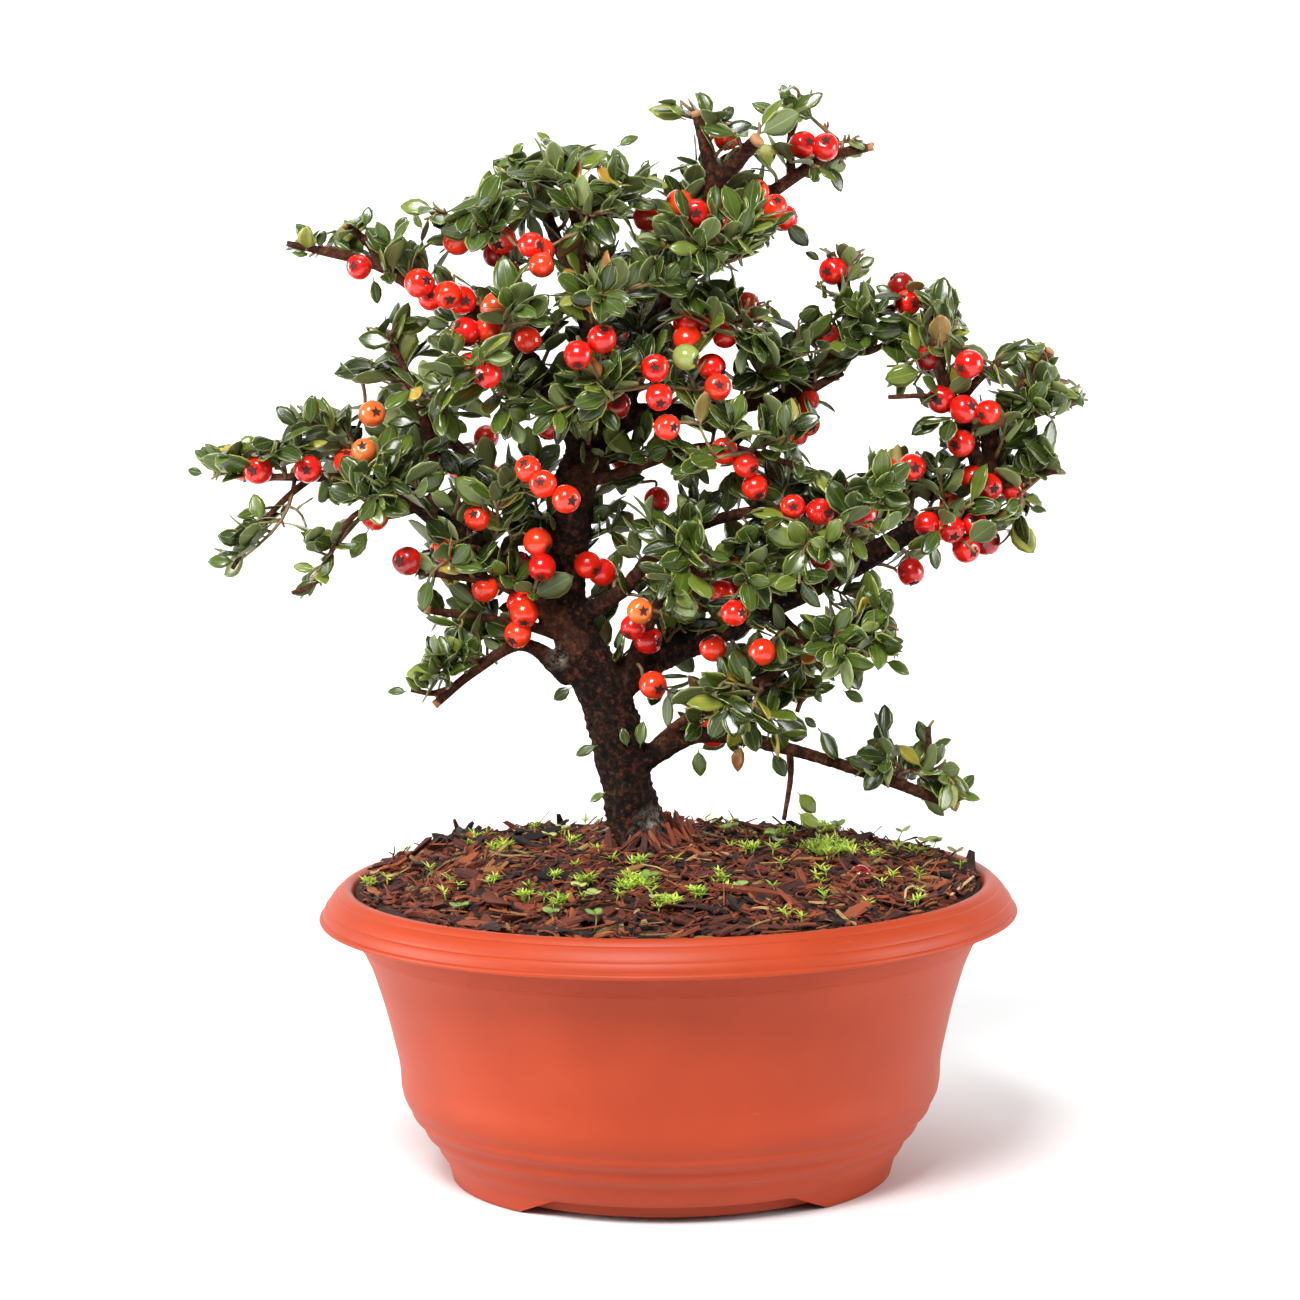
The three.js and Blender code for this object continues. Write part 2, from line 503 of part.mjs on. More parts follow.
const plastic = new THREE.MeshStandardMaterial({ color: '#cf5f42', roughness: 0.5, metalness: 0 });
const mulch = new THREE.MeshStandardMaterial({ color: '#5a3022', roughness: 0.95, metalness: 0 });
const bark = new THREE.MeshStandardMaterial({ color: '#30231c', roughness: 0.9, metalness: 0 });
const leaf = new THREE.MeshStandardMaterial({ color: '#3f6a34', roughness: 0.45, metalness: 0 });
const fruit = new THREE.MeshStandardMaterial({ color: '#e0221a', roughness: 0.25, metalness: 0 });

const bonsai = new THREE.Group();
bonsai.name = 'cotoneaster_bonsai';
bonsai.add(meshOf(bowl, 'bowl', plastic));
bonsai.add(meshOf(soil, 'mulch', mulch));
bonsai.add(meshOf(wood, 'trunk_and_boughs', bark));

// Berries first: each bunch is a chain of touching berries on one stalk
let seed = 100;
for (const [name, [root, ...spots]] of Object.entries(BUNCHES)) {
  seed += 7;
  const random = draw(seed);
  const others = [soilRoom, bowlRoom, ...placed];
  const bunch = firstClear(STEM_TRIES, (attempt) => {
    const first = vector(spots[0]).add(nudge(attempt, random, 9));
    const stalk = placeStem(root, first, 1, STALK_RADIUS, random, woodBody, others);
    if (!stalk) return null;
    const centres = [stalk.end];
    for (const spot of spots.slice(1)) {
      const last = centres[centres.length - 1];
      centres.push(last.clone().add(vector(spot).sub(last).setLength(BERRY_SPACING)));
    }
    const away = first.clone().sub(stalk.start).normalize();
    const tilt = (k) => away.clone().add(new THREE.Vector3(k * 0.4 - 0.4, -0.5, -0.3 * k)).normalize();
    const tested = join(centres.map((centre, k) => berry(centre, tilt(k), FIT_GAP)));
    if (!isClear(tested, [woodBody, ...others])) return null;
    const berries = centres.map((centre, k) => berry(centre, tilt(k)));
    return join([stem(stalk.start, stalk.end, STALK_RADIUS), ...berries]);
  });
  if (bunch) bonsai.add(meshOf(keep(bunch), `berries_${name}`, fruit));
}

// Then the leafy shoots: a stem to a fork and a tufted branch to every tip, all bent clear
for (const [name, [root, ...tips]] of Object.entries(SHOOTS)) {
  seed += 7;
  const random = draw(seed);
  const others = [soilRoom, bowlRoom, ...placed];
  const blocked = [woodBody, ...others];
  const mean = new THREE.Vector3();
  for (const tip of tips) mean.addScaledVector(vector(tip), 1 / tips.length);
  const main = placeStem(root, mean, 0.6, STEM_RADIUS, random, woodBody, others);
  const branches = [];
  for (const [i, tip] of tips.entries()) {
    const fork = main.end.clone().lerp(main.start, 0.62 * (i / Math.max(tips.length - 1, 1)));
    const branch = firstClear(SHOOT_TRIES, (attempt) => {
      const end = vector(tip).lerp(fork, TUFT_SET_BACK / vector(tip).distanceTo(fork));
      end.add(nudge(attempt, random, 10));
      const lean = new THREE.Vector3(random() - 0.5, random() - 0.5, random() - 0.5);
      const axis = end.clone().sub(fork).normalize();
      axis.addScaledVector(UP, TUFT_LIFT).addScaledVector(lean, TUFT_LIFT).normalize();
      const count = 3 + Math.floor(random() * 2.4);
      const size = 1.04 - 0.008 * attempt;
      const start = random() * Math.PI * 2;
      const grain = Math.floor(random() * 1e6);
      const tested = tuft(fork, end, axis, count, size, start, draw(grain), FIT_GAP);
      if (!isClear(tested, blocked)) return null;
      const neck = end.clone().lerp(fork, 0.1);
      const crown = tuft(neck, end, axis, count, size, start, draw(grain), FIT_GAP);
      if (!isClear(crown, branches)) return null;
      return tuft(fork, end, axis, count, size, start, draw(grain));
    });
    if (branch) branches.push({ body: branch, box: boxOf(branch) });
  }
  const shoot = join([stem(main.start, main.end, STEM_RADIUS), ...branches.map(({ body }) => body)]);
  bonsai.add(meshOf(keep(shoot), `leaves_${name}`, leaf));
}

// The origin goes to the middle of the footprint, on the floor
const extent = new THREE.Box3().setFromObject(bonsai);
const middle = extent.getCenter(new THREE.Vector3());
bonsai.position.set(-middle.x, -middle.y, -extent.min.z);

export default bonsai;
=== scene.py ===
"""Cotoneaster bonsai in a round plastic training bowl: the looks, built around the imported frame.

Everything is worked out in millimetres with the bowl's axis at x = y = 0 and the floor at z = 0,
and moved into the frame, in metres, as each piece is made.
"""

import math
import random

import bmesh
import bpy
import numpy as np
from mathutils import Matrix, Vector, kdtree, noise


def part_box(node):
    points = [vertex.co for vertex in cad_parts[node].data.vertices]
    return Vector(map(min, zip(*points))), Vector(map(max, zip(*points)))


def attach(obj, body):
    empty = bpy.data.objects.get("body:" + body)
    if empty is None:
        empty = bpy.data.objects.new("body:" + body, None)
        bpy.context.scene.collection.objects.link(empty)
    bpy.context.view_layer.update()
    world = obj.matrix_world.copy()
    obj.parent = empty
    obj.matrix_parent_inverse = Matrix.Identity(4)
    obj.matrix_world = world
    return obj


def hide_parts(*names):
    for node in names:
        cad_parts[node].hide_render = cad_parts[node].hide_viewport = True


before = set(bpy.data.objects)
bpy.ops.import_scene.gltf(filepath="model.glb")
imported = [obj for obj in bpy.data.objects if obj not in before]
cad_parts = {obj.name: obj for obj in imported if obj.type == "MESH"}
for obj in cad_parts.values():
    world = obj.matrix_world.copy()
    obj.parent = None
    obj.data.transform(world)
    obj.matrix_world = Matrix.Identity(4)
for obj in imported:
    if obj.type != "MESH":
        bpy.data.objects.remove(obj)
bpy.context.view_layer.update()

bowl_low, bowl_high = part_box("bowl")
BOWL_AXIS = np.array([(bowl_low.x + bowl_high.x) / 2, (bowl_low.y + bowl_high.y) / 2, 0.0])
MM = 0.001
TURN = 2 * math.pi

# The camera of the photograph, in millimetres from the bowl's foot, its frame in pixels and the size
# of a pixel at the bowl's axis
PHOTO_SIZE = 1300
PHOTO_CENTRE = 650
FOCAL_PIXELS = 3700
MM_PER_PIXEL = 0.284
CAMERA_PLACE = (-4.17, -1049.2, 269.2)
CAMERA_DOWN = 0.112
CAMERA_ROLL = -0.0143

# Bowl
RIM_RADIUS = 100
RIM_HEIGHT = 85.2
FOOT_HEIGHT = 5.5
FOOT_INNER_RADIUS = 60.8
NOTCH_HALF_WIDTH_FLOOR = 43.2
NOTCH_HALF_WIDTH_TOP = 32.9
DRAIN_HOLES = 5
DRAIN_HOLE_RADIUS = 4.5
DRAIN_CIRCLE_RADIUS = 38
ROUND_STEPS = 144
SHARP_EDGE_DEGREES = 40

# Mulch
SOIL_RADIUS = 89.5
SOIL_EDGE_HEIGHT = 84
SOIL_MOUND = 10.5
MOUND_RINGS = 36
MOUND_FLOOR = 4.1
MOUND_UNDERSIDE = [(73.4, 30.2), (65.6, 13.2), (57.1, 8.2), (57.1, 4.2)]
TRUNK_FOOT_X = -5.5
TRUNK_CLEARANCE = 9.5

# Shredded bark by kind: count, then ranges of length, width and thickness, and how high it may lie
BARK_KINDS = {
    "broad": (190, (9, 19), (2.5, 5.0), (0.6, 1.3), 1.6),
    "splinters": (1300, (5, 12), (0.9, 2.4), (0.4, 1.0), 2.0),
    "crumbs": (2600, (1.5, 4.5), (0.7, 2.0), (0.5, 1.1), 1.8),
    "fibres": (1700, (5, 15), (0.3, 0.7), (0.25, 0.5), 2.6),
}
HEAPED_CHIPS = 90
CHIPS_AT_TRUNK = 60

# Moss: sprigs outside the patches, and the share of a patch's width that its sprigs keep to
STRAY_SPRIGS = 70
MOSS_TIGHTNESS = 0.7

# Leaves and berries
LEAF_LENGTHS = (9.5, 15.0)
LEAF_THICKNESS = 0.34
LEAF_SPACING = 2.1
BERRY_RADIUS = 3.95
BERRY_SEGMENTS = 20
BERRY_RINGS = 13
EYE_ANGLE = 0.62
LEAF_APART = 2.3
LEAF_TRIES = 4
TIP_SET_BACK = 5.0
MAIN_STEM_REACH = 0.6
ROSETTE_TURN = 2.4
ROSETTE_LENGTHS = (6.5, 10.5)

# Over the soil, within this distance of the axis, no leaf hangs lower than the top of the mound. A leaf
# less than this far in front of a berry hides it, and this share of such leaves is left out.
LEAVES_OFF_SOIL = 96
HIDING_REACH = 25
HIDING_SHARE = 0.3

# Spurs, the short shoots on trunk and boughs: the lowest height, the bare length at the foot of the
# trunk and of a bough, the radius that parts thin from stout wood, and the spacing and range of
# lengths on each
SPUR_LOWEST = 128
BARE_TRUNK = 58
BARE_BOUGH = 14
THIN_BOUGH = 2.6
SPURS_ON_THIN = (4.0, (3, 8))
SPURS_ON_STOUT = (3.2, (7, 17))

# Wood: where it is stouter than this radius it is melted into one skin, of faces this wide
STOUT_RADIUS = 1.5
WOOD_VOXEL = 0.78

# Where the bark is weathered grey, as a place and a reach
GREY_FOOT = ((-1, -5, 98), 11)
GREY_FORK = ((-31, -3, 150), 5)

# Trunk and boughs: points as x, y, z and radius
TRUNK = [
    (-7, 0, 74, 8.6), (-8, 0, 95, 8.3), (-10, 0, 106, 7.5), (-12, 0, 116, 7.2), (-16, 0, 135, 7.6),
    (-19, 0, 142, 7.5), (-26, 0, 157, 6.4), (-28, 0, 165, 6), (-27, -2, 184, 6.1), (-25, -3, 198, 6.2),
    (-20, -1, 209, 6), (-15, 0, 217, 4.8),
]
BOUGHS = {
    "midRight": [(-17, 0, 213, 4.6), (-7, 2, 218, 3.4), (8, 4, 219, 2.5), (35, 6, 222, 2), (52, 9, 229, 1)],
    "upperRight": [
        (32, 6, 222, 1.9), (44, 10, 229, 1.8), (54, 14, 243, 2.3), (53, 14, 253, 2), (49, 15, 263, 1.4),
    ],
    "upperRightTip": [(53, 14, 243, 1.7), (67, 17, 247, 1.3), (81, 20, 252, 1)],
    "bigRight": [
        (-17, 0, 139, 6.4), (-5, 6, 147, 5), (10, 12, 153, 4.3), (39, 16, 166, 4), (56, 16, 174, 3.8),
        (75, 12, 185, 2.9), (88, 8, 190, 2.7), (94, 6, 197, 2.7), (93, 5, 213, 2.4),
    ],
    "farUpper": [
        (92, 6, 195, 2.5), (89, 2, 205, 2.3), (84, 0, 218, 2.2), (79, -2, 229, 1.8), (76, 4, 247, 0.9),
    ],
    "farLowTip": [(94, 6, 196, 1.9), (105, 3, 199, 1.3), (112, 0, 201, 1)],
    "farMidTip": [(93, 5, 209, 1.8), (102, 8, 215, 1.5), (120, 12, 220, 1)],
    "farBackTip": [(98, 7, 213, 1.6), (104, 13, 226, 1.4), (112, 17, 234, 1.5)],
    "frontRight": [
        (-23, -2, 162, 3.2), (-12, -9, 169, 2.3), (-2, -14, 180, 2.1), (13, -18, 189, 1.8),
        (31, -20, 192, 1.6), (55, -20, 190, 1),
    ],
    "arch": [
        (-10, 0, 144, 2.8), (-6, -8, 157, 2.2), (2, -15, 170, 2.1), (9, -18, 175, 2.3),
        (17, -20, 175, 2.3), (25, -21, 170, 2.3), (39, -22, 156, 2.2), (60, -26, 156, 1),
    ],
    "grey": [(-2, -3, 125, 2), (6, -11, 133, 1.5), (19, -18, 140, 1.6), (36, -16, 149, 1.2)],
    "lowRight": [
        (-11, 0, 117, 4.8), (-3, -3, 122, 3.4), (8, -6, 127, 2.5), (20, -9, 127, 2.3),
        (44, -12, 121, 1.9), (75, -14, 110, 1.8), (82, -14, 107, 1.5),
    ],
    "lowRightTwig": [(74, -14, 110, 1.4), (74, -15, 121, 1.1), (74, -15, 130, 0.8)],
    "lowHanging": [(35, -11, 123, 1.2), (35, -15, 116, 0.9), (33, -15, 104, 0.7)],
    "left": [
        (-28, 0, 161, 5.2), (-38, -3, 171, 3.8), (-50, -7, 180, 3.2), (-66, -8, 192, 2.9),
        (-75, -8, 199, 2.3), (-89, -9, 202, 1.6), (-117, -10, 203, 1),
    ],
    "leftUpright": [(-66, -8, 191, 1.8), (-64, -8, 202, 1.5), (-67, -10, 220, 1.6), (-76, -12, 242, 0.9)],
    "upperLeft": [
        (-21, -1, 208, 4.8), (-30, -8, 224, 3.4), (-45, -13, 244, 2.5), (-69, -16, 256, 1.9),
        (-79, -17, 262, 1.7), (-103, -20, 268, 0.9),
    ],
    "upperLeftStub": [(-77, -17, 261, 1.5), (-81, -17, 268, 1.2), (-87, -18, 273, 1.1)],
    "upperLeftRise": [(-44, -13, 243, 2.1), (-42, -9, 256, 1.8), (-48, -8, 266, 1.8), (-63, -8, 275, 1.6)],
    "centre": [
        (-17, 0, 213, 4.4), (-17, -4, 226, 3.9), (-19, -6, 240, 3), (-21, -10, 264, 1.7),
        (-25, -13, 279, 1.3),
    ],
    "centreBack": [(-19, -6, 238, 2.4), (-25, 0, 258, 2.1), (-33, 6, 280, 1.8), (-30, 6, 294, 1)],
    "leader": [
        (-17, 0, 213, 4.6), (-9, 4, 227, 3.8), (-3, 6, 241, 3.3), (11, 5, 266, 2.8), (15, 3, 284, 2.5),
        (11, 2, 303, 1.6),
    ],
    "leaderStub": [(15, 3, 282, 2.4), (22, -1, 289, 2.3), (28, -5, 295, 2.1)],
    "topRight": [(10, 5, 265, 2.4), (23, 12, 274, 2.1), (46, 14, 289, 1.6), (61, 14, 293, 1.2)],
    "topRightRise": [(38, 14, 284, 1.5), (38, 14, 296, 1.1), (41, 14, 308, 0.8)],
    "leaderFront": [(2, 6, 250, 2.2), (10, -9, 259, 1.6), (27, -15, 271, 1)],
    "leaderSide": [(-4, 6, 238, 2.2), (11, -3, 244, 1.6), (29, -9, 245, 1)],
    "thinRight": [(-23, -4, 200, 2.4), (-13, -8, 202, 1.7), (14, -16, 210, 1.3), (42, -20, 203, 0.8)],
    "lowLeft": [(-27, -1, 144, 3.6), (-40, -7, 154, 1.9), (-54, -11, 147, 1.4), (-65, -12, 138, 1.2)],
    "orange": [(-29, -3, 157, 2.2), (-45, -12, 171, 1.3), (-69, -16, 176, 0.8)],
    "stubLeft": [(-27, -2, 155, 2), (-41, -8, 160, 1.4), (-67, -13, 165, 1.1)],
    "backLeft": [(-27, 0, 176, 4.2), (-41, 20, 192, 2.7), (-58, 38, 206, 1.9), (-72, 50, 219, 1.2)],
    "backCentre": [(-20, 0, 208, 4.4), (-15, 22, 224, 2.8), (-6, 40, 243, 2), (0, 52, 262, 1.2)],
    "backRight": [(-3, 6, 148, 4.2), (10, 28, 160, 2.9), (28, 46, 176, 2.1), (42, 56, 196, 1.3)],
}
# Thin bare twigs, finer than the solids hold, read from the photograph: pixel across, pixel down,
# depth and radius in mm
THIN_TWIGS = [
    [(312, 477, -10, 1.1), (284, 500, -14, 0.9), (261, 526, -17, 0.8), (232, 569, -20, 0.6)],
    [(418, 508, -8, 1.4), (388, 516, -14, 1.0), (358, 513, -18, 0.9), (337, 540, -22, 0.8),
     (318, 580, -25, 0.7), (292, 593, -28, 0.6)],
    [(955, 400, -1, 1.0), (925, 396, -7, 0.8), (889, 397, -12, 0.7)],
    [(490, 249, -8, 1.4), (481, 224, -8, 1.2), (466, 198, -8, 1.1)],
    [(541, 197, 6, 1.4), (548, 172, 6, 1.2), (553, 147, 6, 1.0)],
    [(957, 404, 0, 1.5), (978, 380, -5, 1.2), (1000, 362, -9, 0.9)],
    [(941, 372, -2, 1.3), (943, 342, 2, 1.1), (928, 303, 5, 0.9)],
    [(838, 346, 13, 1.3), (866, 352, 11, 1.1), (896, 338, 10, 0.8)],
    [(458, 685, -12, 1.1), (434, 693, -13, 0.9), (411, 690, -14, 0.7)],
    [(662, 317, 6, 2.0), (674, 288, -7, 1.5), (718, 262, -13, 1.1), (763, 242, -18, 0.8)],
    [(470, 520, -18, 0.7), (468, 548, -19, 0.9), (466, 575, -12, 1.1)],
    [(795, 650, -18, 0.8), (808, 676, -20, 1.0), (797, 712, -20, 0.7)],
    [(1010, 424, 8, 1.0), (1035, 375, 8, 1.1), (1048, 352, 8, 1.4)],
]
# Boughs that end in a pale saw or secateur cut
CUT_ENDS = (
    "farBackTip", "upperLeftStub", "leader", "leaderStub", "lowRight", "topRight", "lowLeft", "stubLeft",
    "upperLeftRise", "centre",
)

# Leafy shoots: where each one grows from a bough, then the tips it branches to
SHOOTS = {
    "left_tip": [(-98, -10, 203), (-130, -12, 205), (-118, -3, 211), (-110, -18, 215), (-120, -21, 177)],
    "left_pad": [(-82, -8, 201), (-103, -12, 219), (-92, -3, 222), (-98, 10, 207), (-72, 20, 211)],
    "left_front": [(-76, -8, 199), (-84, -27, 202), (-73, -30, 205), (-101, -28, 171)],
    "left_middle": [(-68, -10, 224), (-86, -14, 233), (-80, 10, 228), (-58, -26, 222), (-84, -10, 247)],
    "upper_left_tip": [(-82, -17, 263), (-106, -17, 266), (-90, -6, 272)],
    "upper_left_rise": [(-54, -8, 270), (-66, -18, 277), (-58, 4, 282), (-44, -26, 271)],
    "upper_left_front": [(-45, -13, 244), (-55, -40, 232), (-38, -38, 252), (-43, -32, 218)],
    "upper_left_back": [(-38, -11, 236), (-56, 22, 248), (-42, 30, 232)],
    "centre_back_top": [(-33, 6, 280), (-42, 10, 290), (-24, 14, 292), (-36, 24, 277)],
    "centre_front_top": [(-21, -11, 266), (-18, -30, 273), (-30, -13, 291), (-6, -18, 286)],
    "leader_tip": [(12, 2, 296), (3, 6, 304), (22, 6, 302)],
    "top_right": [(50, 14, 291), (36, 16, 309), (64, 12, 297), (56, 26, 288)],
    "top_right_low": [(20, 10, 272), (34, 4, 272), (16, 26, 282)],
    "leader_front": [(16, -12, 264), (32, -20, 271), (19, -28, 258), (4, -26, 263)],
    "side_right": [(15, -5, 244), (36, -8, 252), (28, -22, 240), (12, -26, 243)],
    "centre_front": [(-19, -7, 244), (-22, -40, 254), (-6, -28, 256)],
    "centre_low": [(-17, -4, 228), (-14, -42, 226), (-32, -36, 220), (14, -30, 226)],
    "mid_right": [(22, 5, 220), (27, -11, 231), (33, 20, 231), (44, 2, 238)],
    "upper_right": [(54, 14, 246), (58, 10, 268), (40, 8, 256), (60, -2, 238)],
    "upper_right_tip": [(72, 18, 249), (85, 20, 254), (80, 26, 241), (74, 8, 250)],
    "far_rise": [(79, 1, 238), (84, 0, 247), (64, -9, 229), (98, -9, 230)],
    "far_tip": [(104, 9, 216), (119, 14, 221), (110, 25, 228), (103, -8, 220)],
    "far_low": [(97, 5, 197), (112, 1, 203), (105, 2, 186), (100, 22, 188)],
    "big_right": [(70, 13, 182), (60, 0, 202), (76, 12, 206), (60, 36, 186), (92, -6, 177)],
    "front_right": [(45, -20, 191), (62, -20, 199), (36, -38, 181), (52, -34, 180)],
    "thin_right": [(24, -17, 208), (4, -32, 205), (44, -26, 212)],
    "arch": [(13, -19, 175), (-4, -30, 188), (-2, -36, 175), (18, -20, 190), (30, -36, 174)],
    "arch_tip": [(47, -24, 155), (64, -26, 163), (60, -20, 148), (46, -38, 160)],
    "grey": [(28, -17, 144), (12, -27, 146), (22, -28, 132), (44, -14, 139)],
    "low_right": [(24, -9, 126), (38, -14, 134), (10, 4, 135)],
    "low_right_tip": [(66, -13, 113), (57, -16, 124), (82, -14, 117), (66, 0, 118)],
    "low_left": [(-47, -9, 151), (-66, -16, 148), (-56, 2, 146)],
    "left_inner": [(-47, -6, 178), (-64, -24, 178), (-46, -28, 200), (-60, 10, 178)],
    "back_left": [(-54, 34, 203), (-72, 56, 226), (-84, 44, 213), (-62, 46, 192)],
    "back_centre": [(-7, 38, 241), (2, 58, 268), (-24, 50, 252), (-6, 56, 236)],
    "back_right": [(24, 42, 172), (46, 60, 202), (50, 50, 180), (18, 58, 182)],
}

# Berries of each bunch as read from the photograph: pixel across, pixel down, depth in mm from the
# bowl's axis (towards the camera is minus), ripeness from 0 green over 0.4 orange to 1 deep red, and
# for those whose calyx shows, how far it leans to the right and upwards. The deepest reds partly stand
# for berries that hang in shade, and there the ripeness is painted shade.
BERRIES = {
    "left_tip": [(258, 470, -16, 0.9, -0.3, 0), (243, 467, -8, 0.8), (308, 469, -18, 0.95, 0, 0),
                 (346, 462, -12, 0.75)],
    "left": [(372, 414, -12, 0.45, 0.4, 0.2), (364, 451, -20, 0.42, -0.1, 0.5)],
    "left_low": [(407, 561, -20, 1.0, -0.5, 0.1), (477, 518, -20, 0.8, -0.3, 0.4),
                 (375, 517, -14, 0.85), (443, 550, -14, 0.7), (451, 572, -12, 0.2, 0, -0.6)],
    "upper_left_tip": [(359, 267, -24, 0.95, -0.4, 0.1), (419, 283, -26, 0.85), (431, 297, -22, 0.85),
                       (448, 295, -24, 0.8)],
    "upper_left": [(495, 307, -30, 0.7), (466, 332, -24, 0.95), (487, 330, -22, 0.75),
                   (488, 375, -42, 0.95, -0.6, -0.1), (470, 367, -30, 0.85), (462, 300, -20, 0.9)],
    "rise": [(457, 241, -18, 0.75), (502, 240, -14, 0.8), (496, 254, -12, 1.0)],
    "centre_top": [(542, 265, -32, 0.75), (540, 252, -24, 0.8), (531, 245, -28, 0.85),
                   (571, 197, -8, 0.75), (507, 272, -10, 1.0), (598, 300, -34, 0.4)],
    "centre": [(602, 339, -40, 0.95, 0.2, 0.8), (578, 355, -42, 0.95, 0, -0.8), (528, 340, -26, 0.8),
               (617, 405, -14, 1.0, 0, 0.3), (553, 410, -10, 1.0), (548, 427, -8, 0.95)],
    "middle": [(655, 368, -36, 0.95, 0, 0.1), (659, 397, -36, 0.9, 0.1, -0.5),
               (667, 427, -34, 0.8, 0.6, 0), (718, 387, -30, 0.8, 0.1, 0.2), (712, 367, -18, 0.9),
               (686, 357, -34, 0.0, 0.8, -0.3), (687, 323, -16, 0.9), (687, 340, -18, 0.8),
               (725, 336, -16, 0.95), (705, 328, -14, 0.9)],
    "trunk": [(528, 469, -32, 0.8), (543, 484, -34, 0.8, -0.2, 0.2), (566, 499, -34, 0.8, 0.5, -0.1),
              (623, 460, 14, 0.85)],
    "trunk_low": [(542, 567, -18, 0.95, -0.1, -0.8), (538, 542, -16, 0.75), (520, 564, -4, 1.0),
                  (520, 603, -12, 0.85), (524, 613, -14, 0.8), (518, 634, -12, 0.75, -0.5, -0.5),
                  (485, 588, -12, 0.8, 0.1, 0.8)],
    "right_front": [(724, 451, -24, 0.8, -0.2, 0.2), (746, 465, -26, 0.85, 0.6, -0.4),
                    (755, 487, -24, 0.85, 0.3, -0.7), (657, 500, 6, 0.9)],
    "right_mid": [(790, 415, 0, 0.9), (807, 423, 2, 0.85), (795, 433, 4, 0.85), (807, 400, 8, 0.8)],
    "arch": [(734, 613, -36, 0.9, 0.7, 0.1), (722, 592, -14, 0.85), (743, 583, -12, 0.9),
             (687, 607, -6, 1.0), (640, 611, -22, 0.42, 0.3, 0.1), (633, 627, -12, 0.9),
             (648, 640, -8, 0.95), (762, 652, -30, 0.8), (713, 648, -20, 0.8), (588, 565, -10, 0.85),
             (602, 572, -6, 0.9), (653, 685, -12, 0.75), (713, 733, -4, 0.85, 0.4, 0.7),
             (733, 553, 0, 0.9)],
    "front_right": [(793, 507, -28, 0.85, 0, 0.1), (820, 512, -28, 0.95, 0.6, 0), (837, 523, -12, 1.0),
                    (865, 516, -8, 0.95, -0.6, 0.2), (824, 557, -6, 1.0, 0.2, 0.8)],
    "far_low": [(927, 524, 0, 0.95, -0.3, -0.8), (951, 529, 0, 0.95), (975, 524, 2, 0.95),
                (986, 541, 8, 1.0), (966, 549, 4, 0.9, 0.6, -0.2), (952, 506, 8, 0.75),
                (911, 572, 6, 0.97, 0.2, -0.9), (876, 607, 4, 0.85, 0.1, -0.9), (854, 630, -14, 0.85)],
    "far": [(912, 467, 0, 0.9, 0.2, 0), (887, 470, 4, 0.9), (961, 443, -4, 0.9, -0.6, -0.1),
            (941, 399, -2, 0.95), (964, 409, -8, 0.95), (988, 412, -8, 0.9), (973, 477, 2, 0.85),
            (988, 487, 2, 0.9), (1012, 489, 8, 0.85)],
    "far_top": [(969, 364, -12, 0.95), (927, 358, 0, 1.0)],
    "upper_right": [(833, 271, 10, 0.95, -0.5, 0), (827, 337, 6, 1.0), (907, 303, 12, 0.9, 0.6, 0),
                    (901, 285, 18, 1.0)],
    "leader": [(696, 213, -14, 0.95, 0, 0), (679, 204, -12, 0.7), (713, 218, -4, 0.95),
               (647, 217, -8, 0.85), (747, 305, -2, 0.9)],
    "top_right": [(727, 137, 6, 0.8), (803, 145, 8, 0.95), (825, 147, 8, 0.95), (757, 192, 4, 0.75),
                  (775, 207, 6, 0.8, 0.2, 0.6), (785, 218, 10, 0.95), (753, 224, 8, 0.97)],
}
# The far side of the crown isn't seen. Berries are strewn there at about the same density, on wood
# of at most this radius and from this depth and height on
HIDDEN_BERRIES = 18
FAR_SIDE_RADIUS = 3
FAR_SIDE_DEPTH = 28
FAR_SIDE_HEIGHT = 130

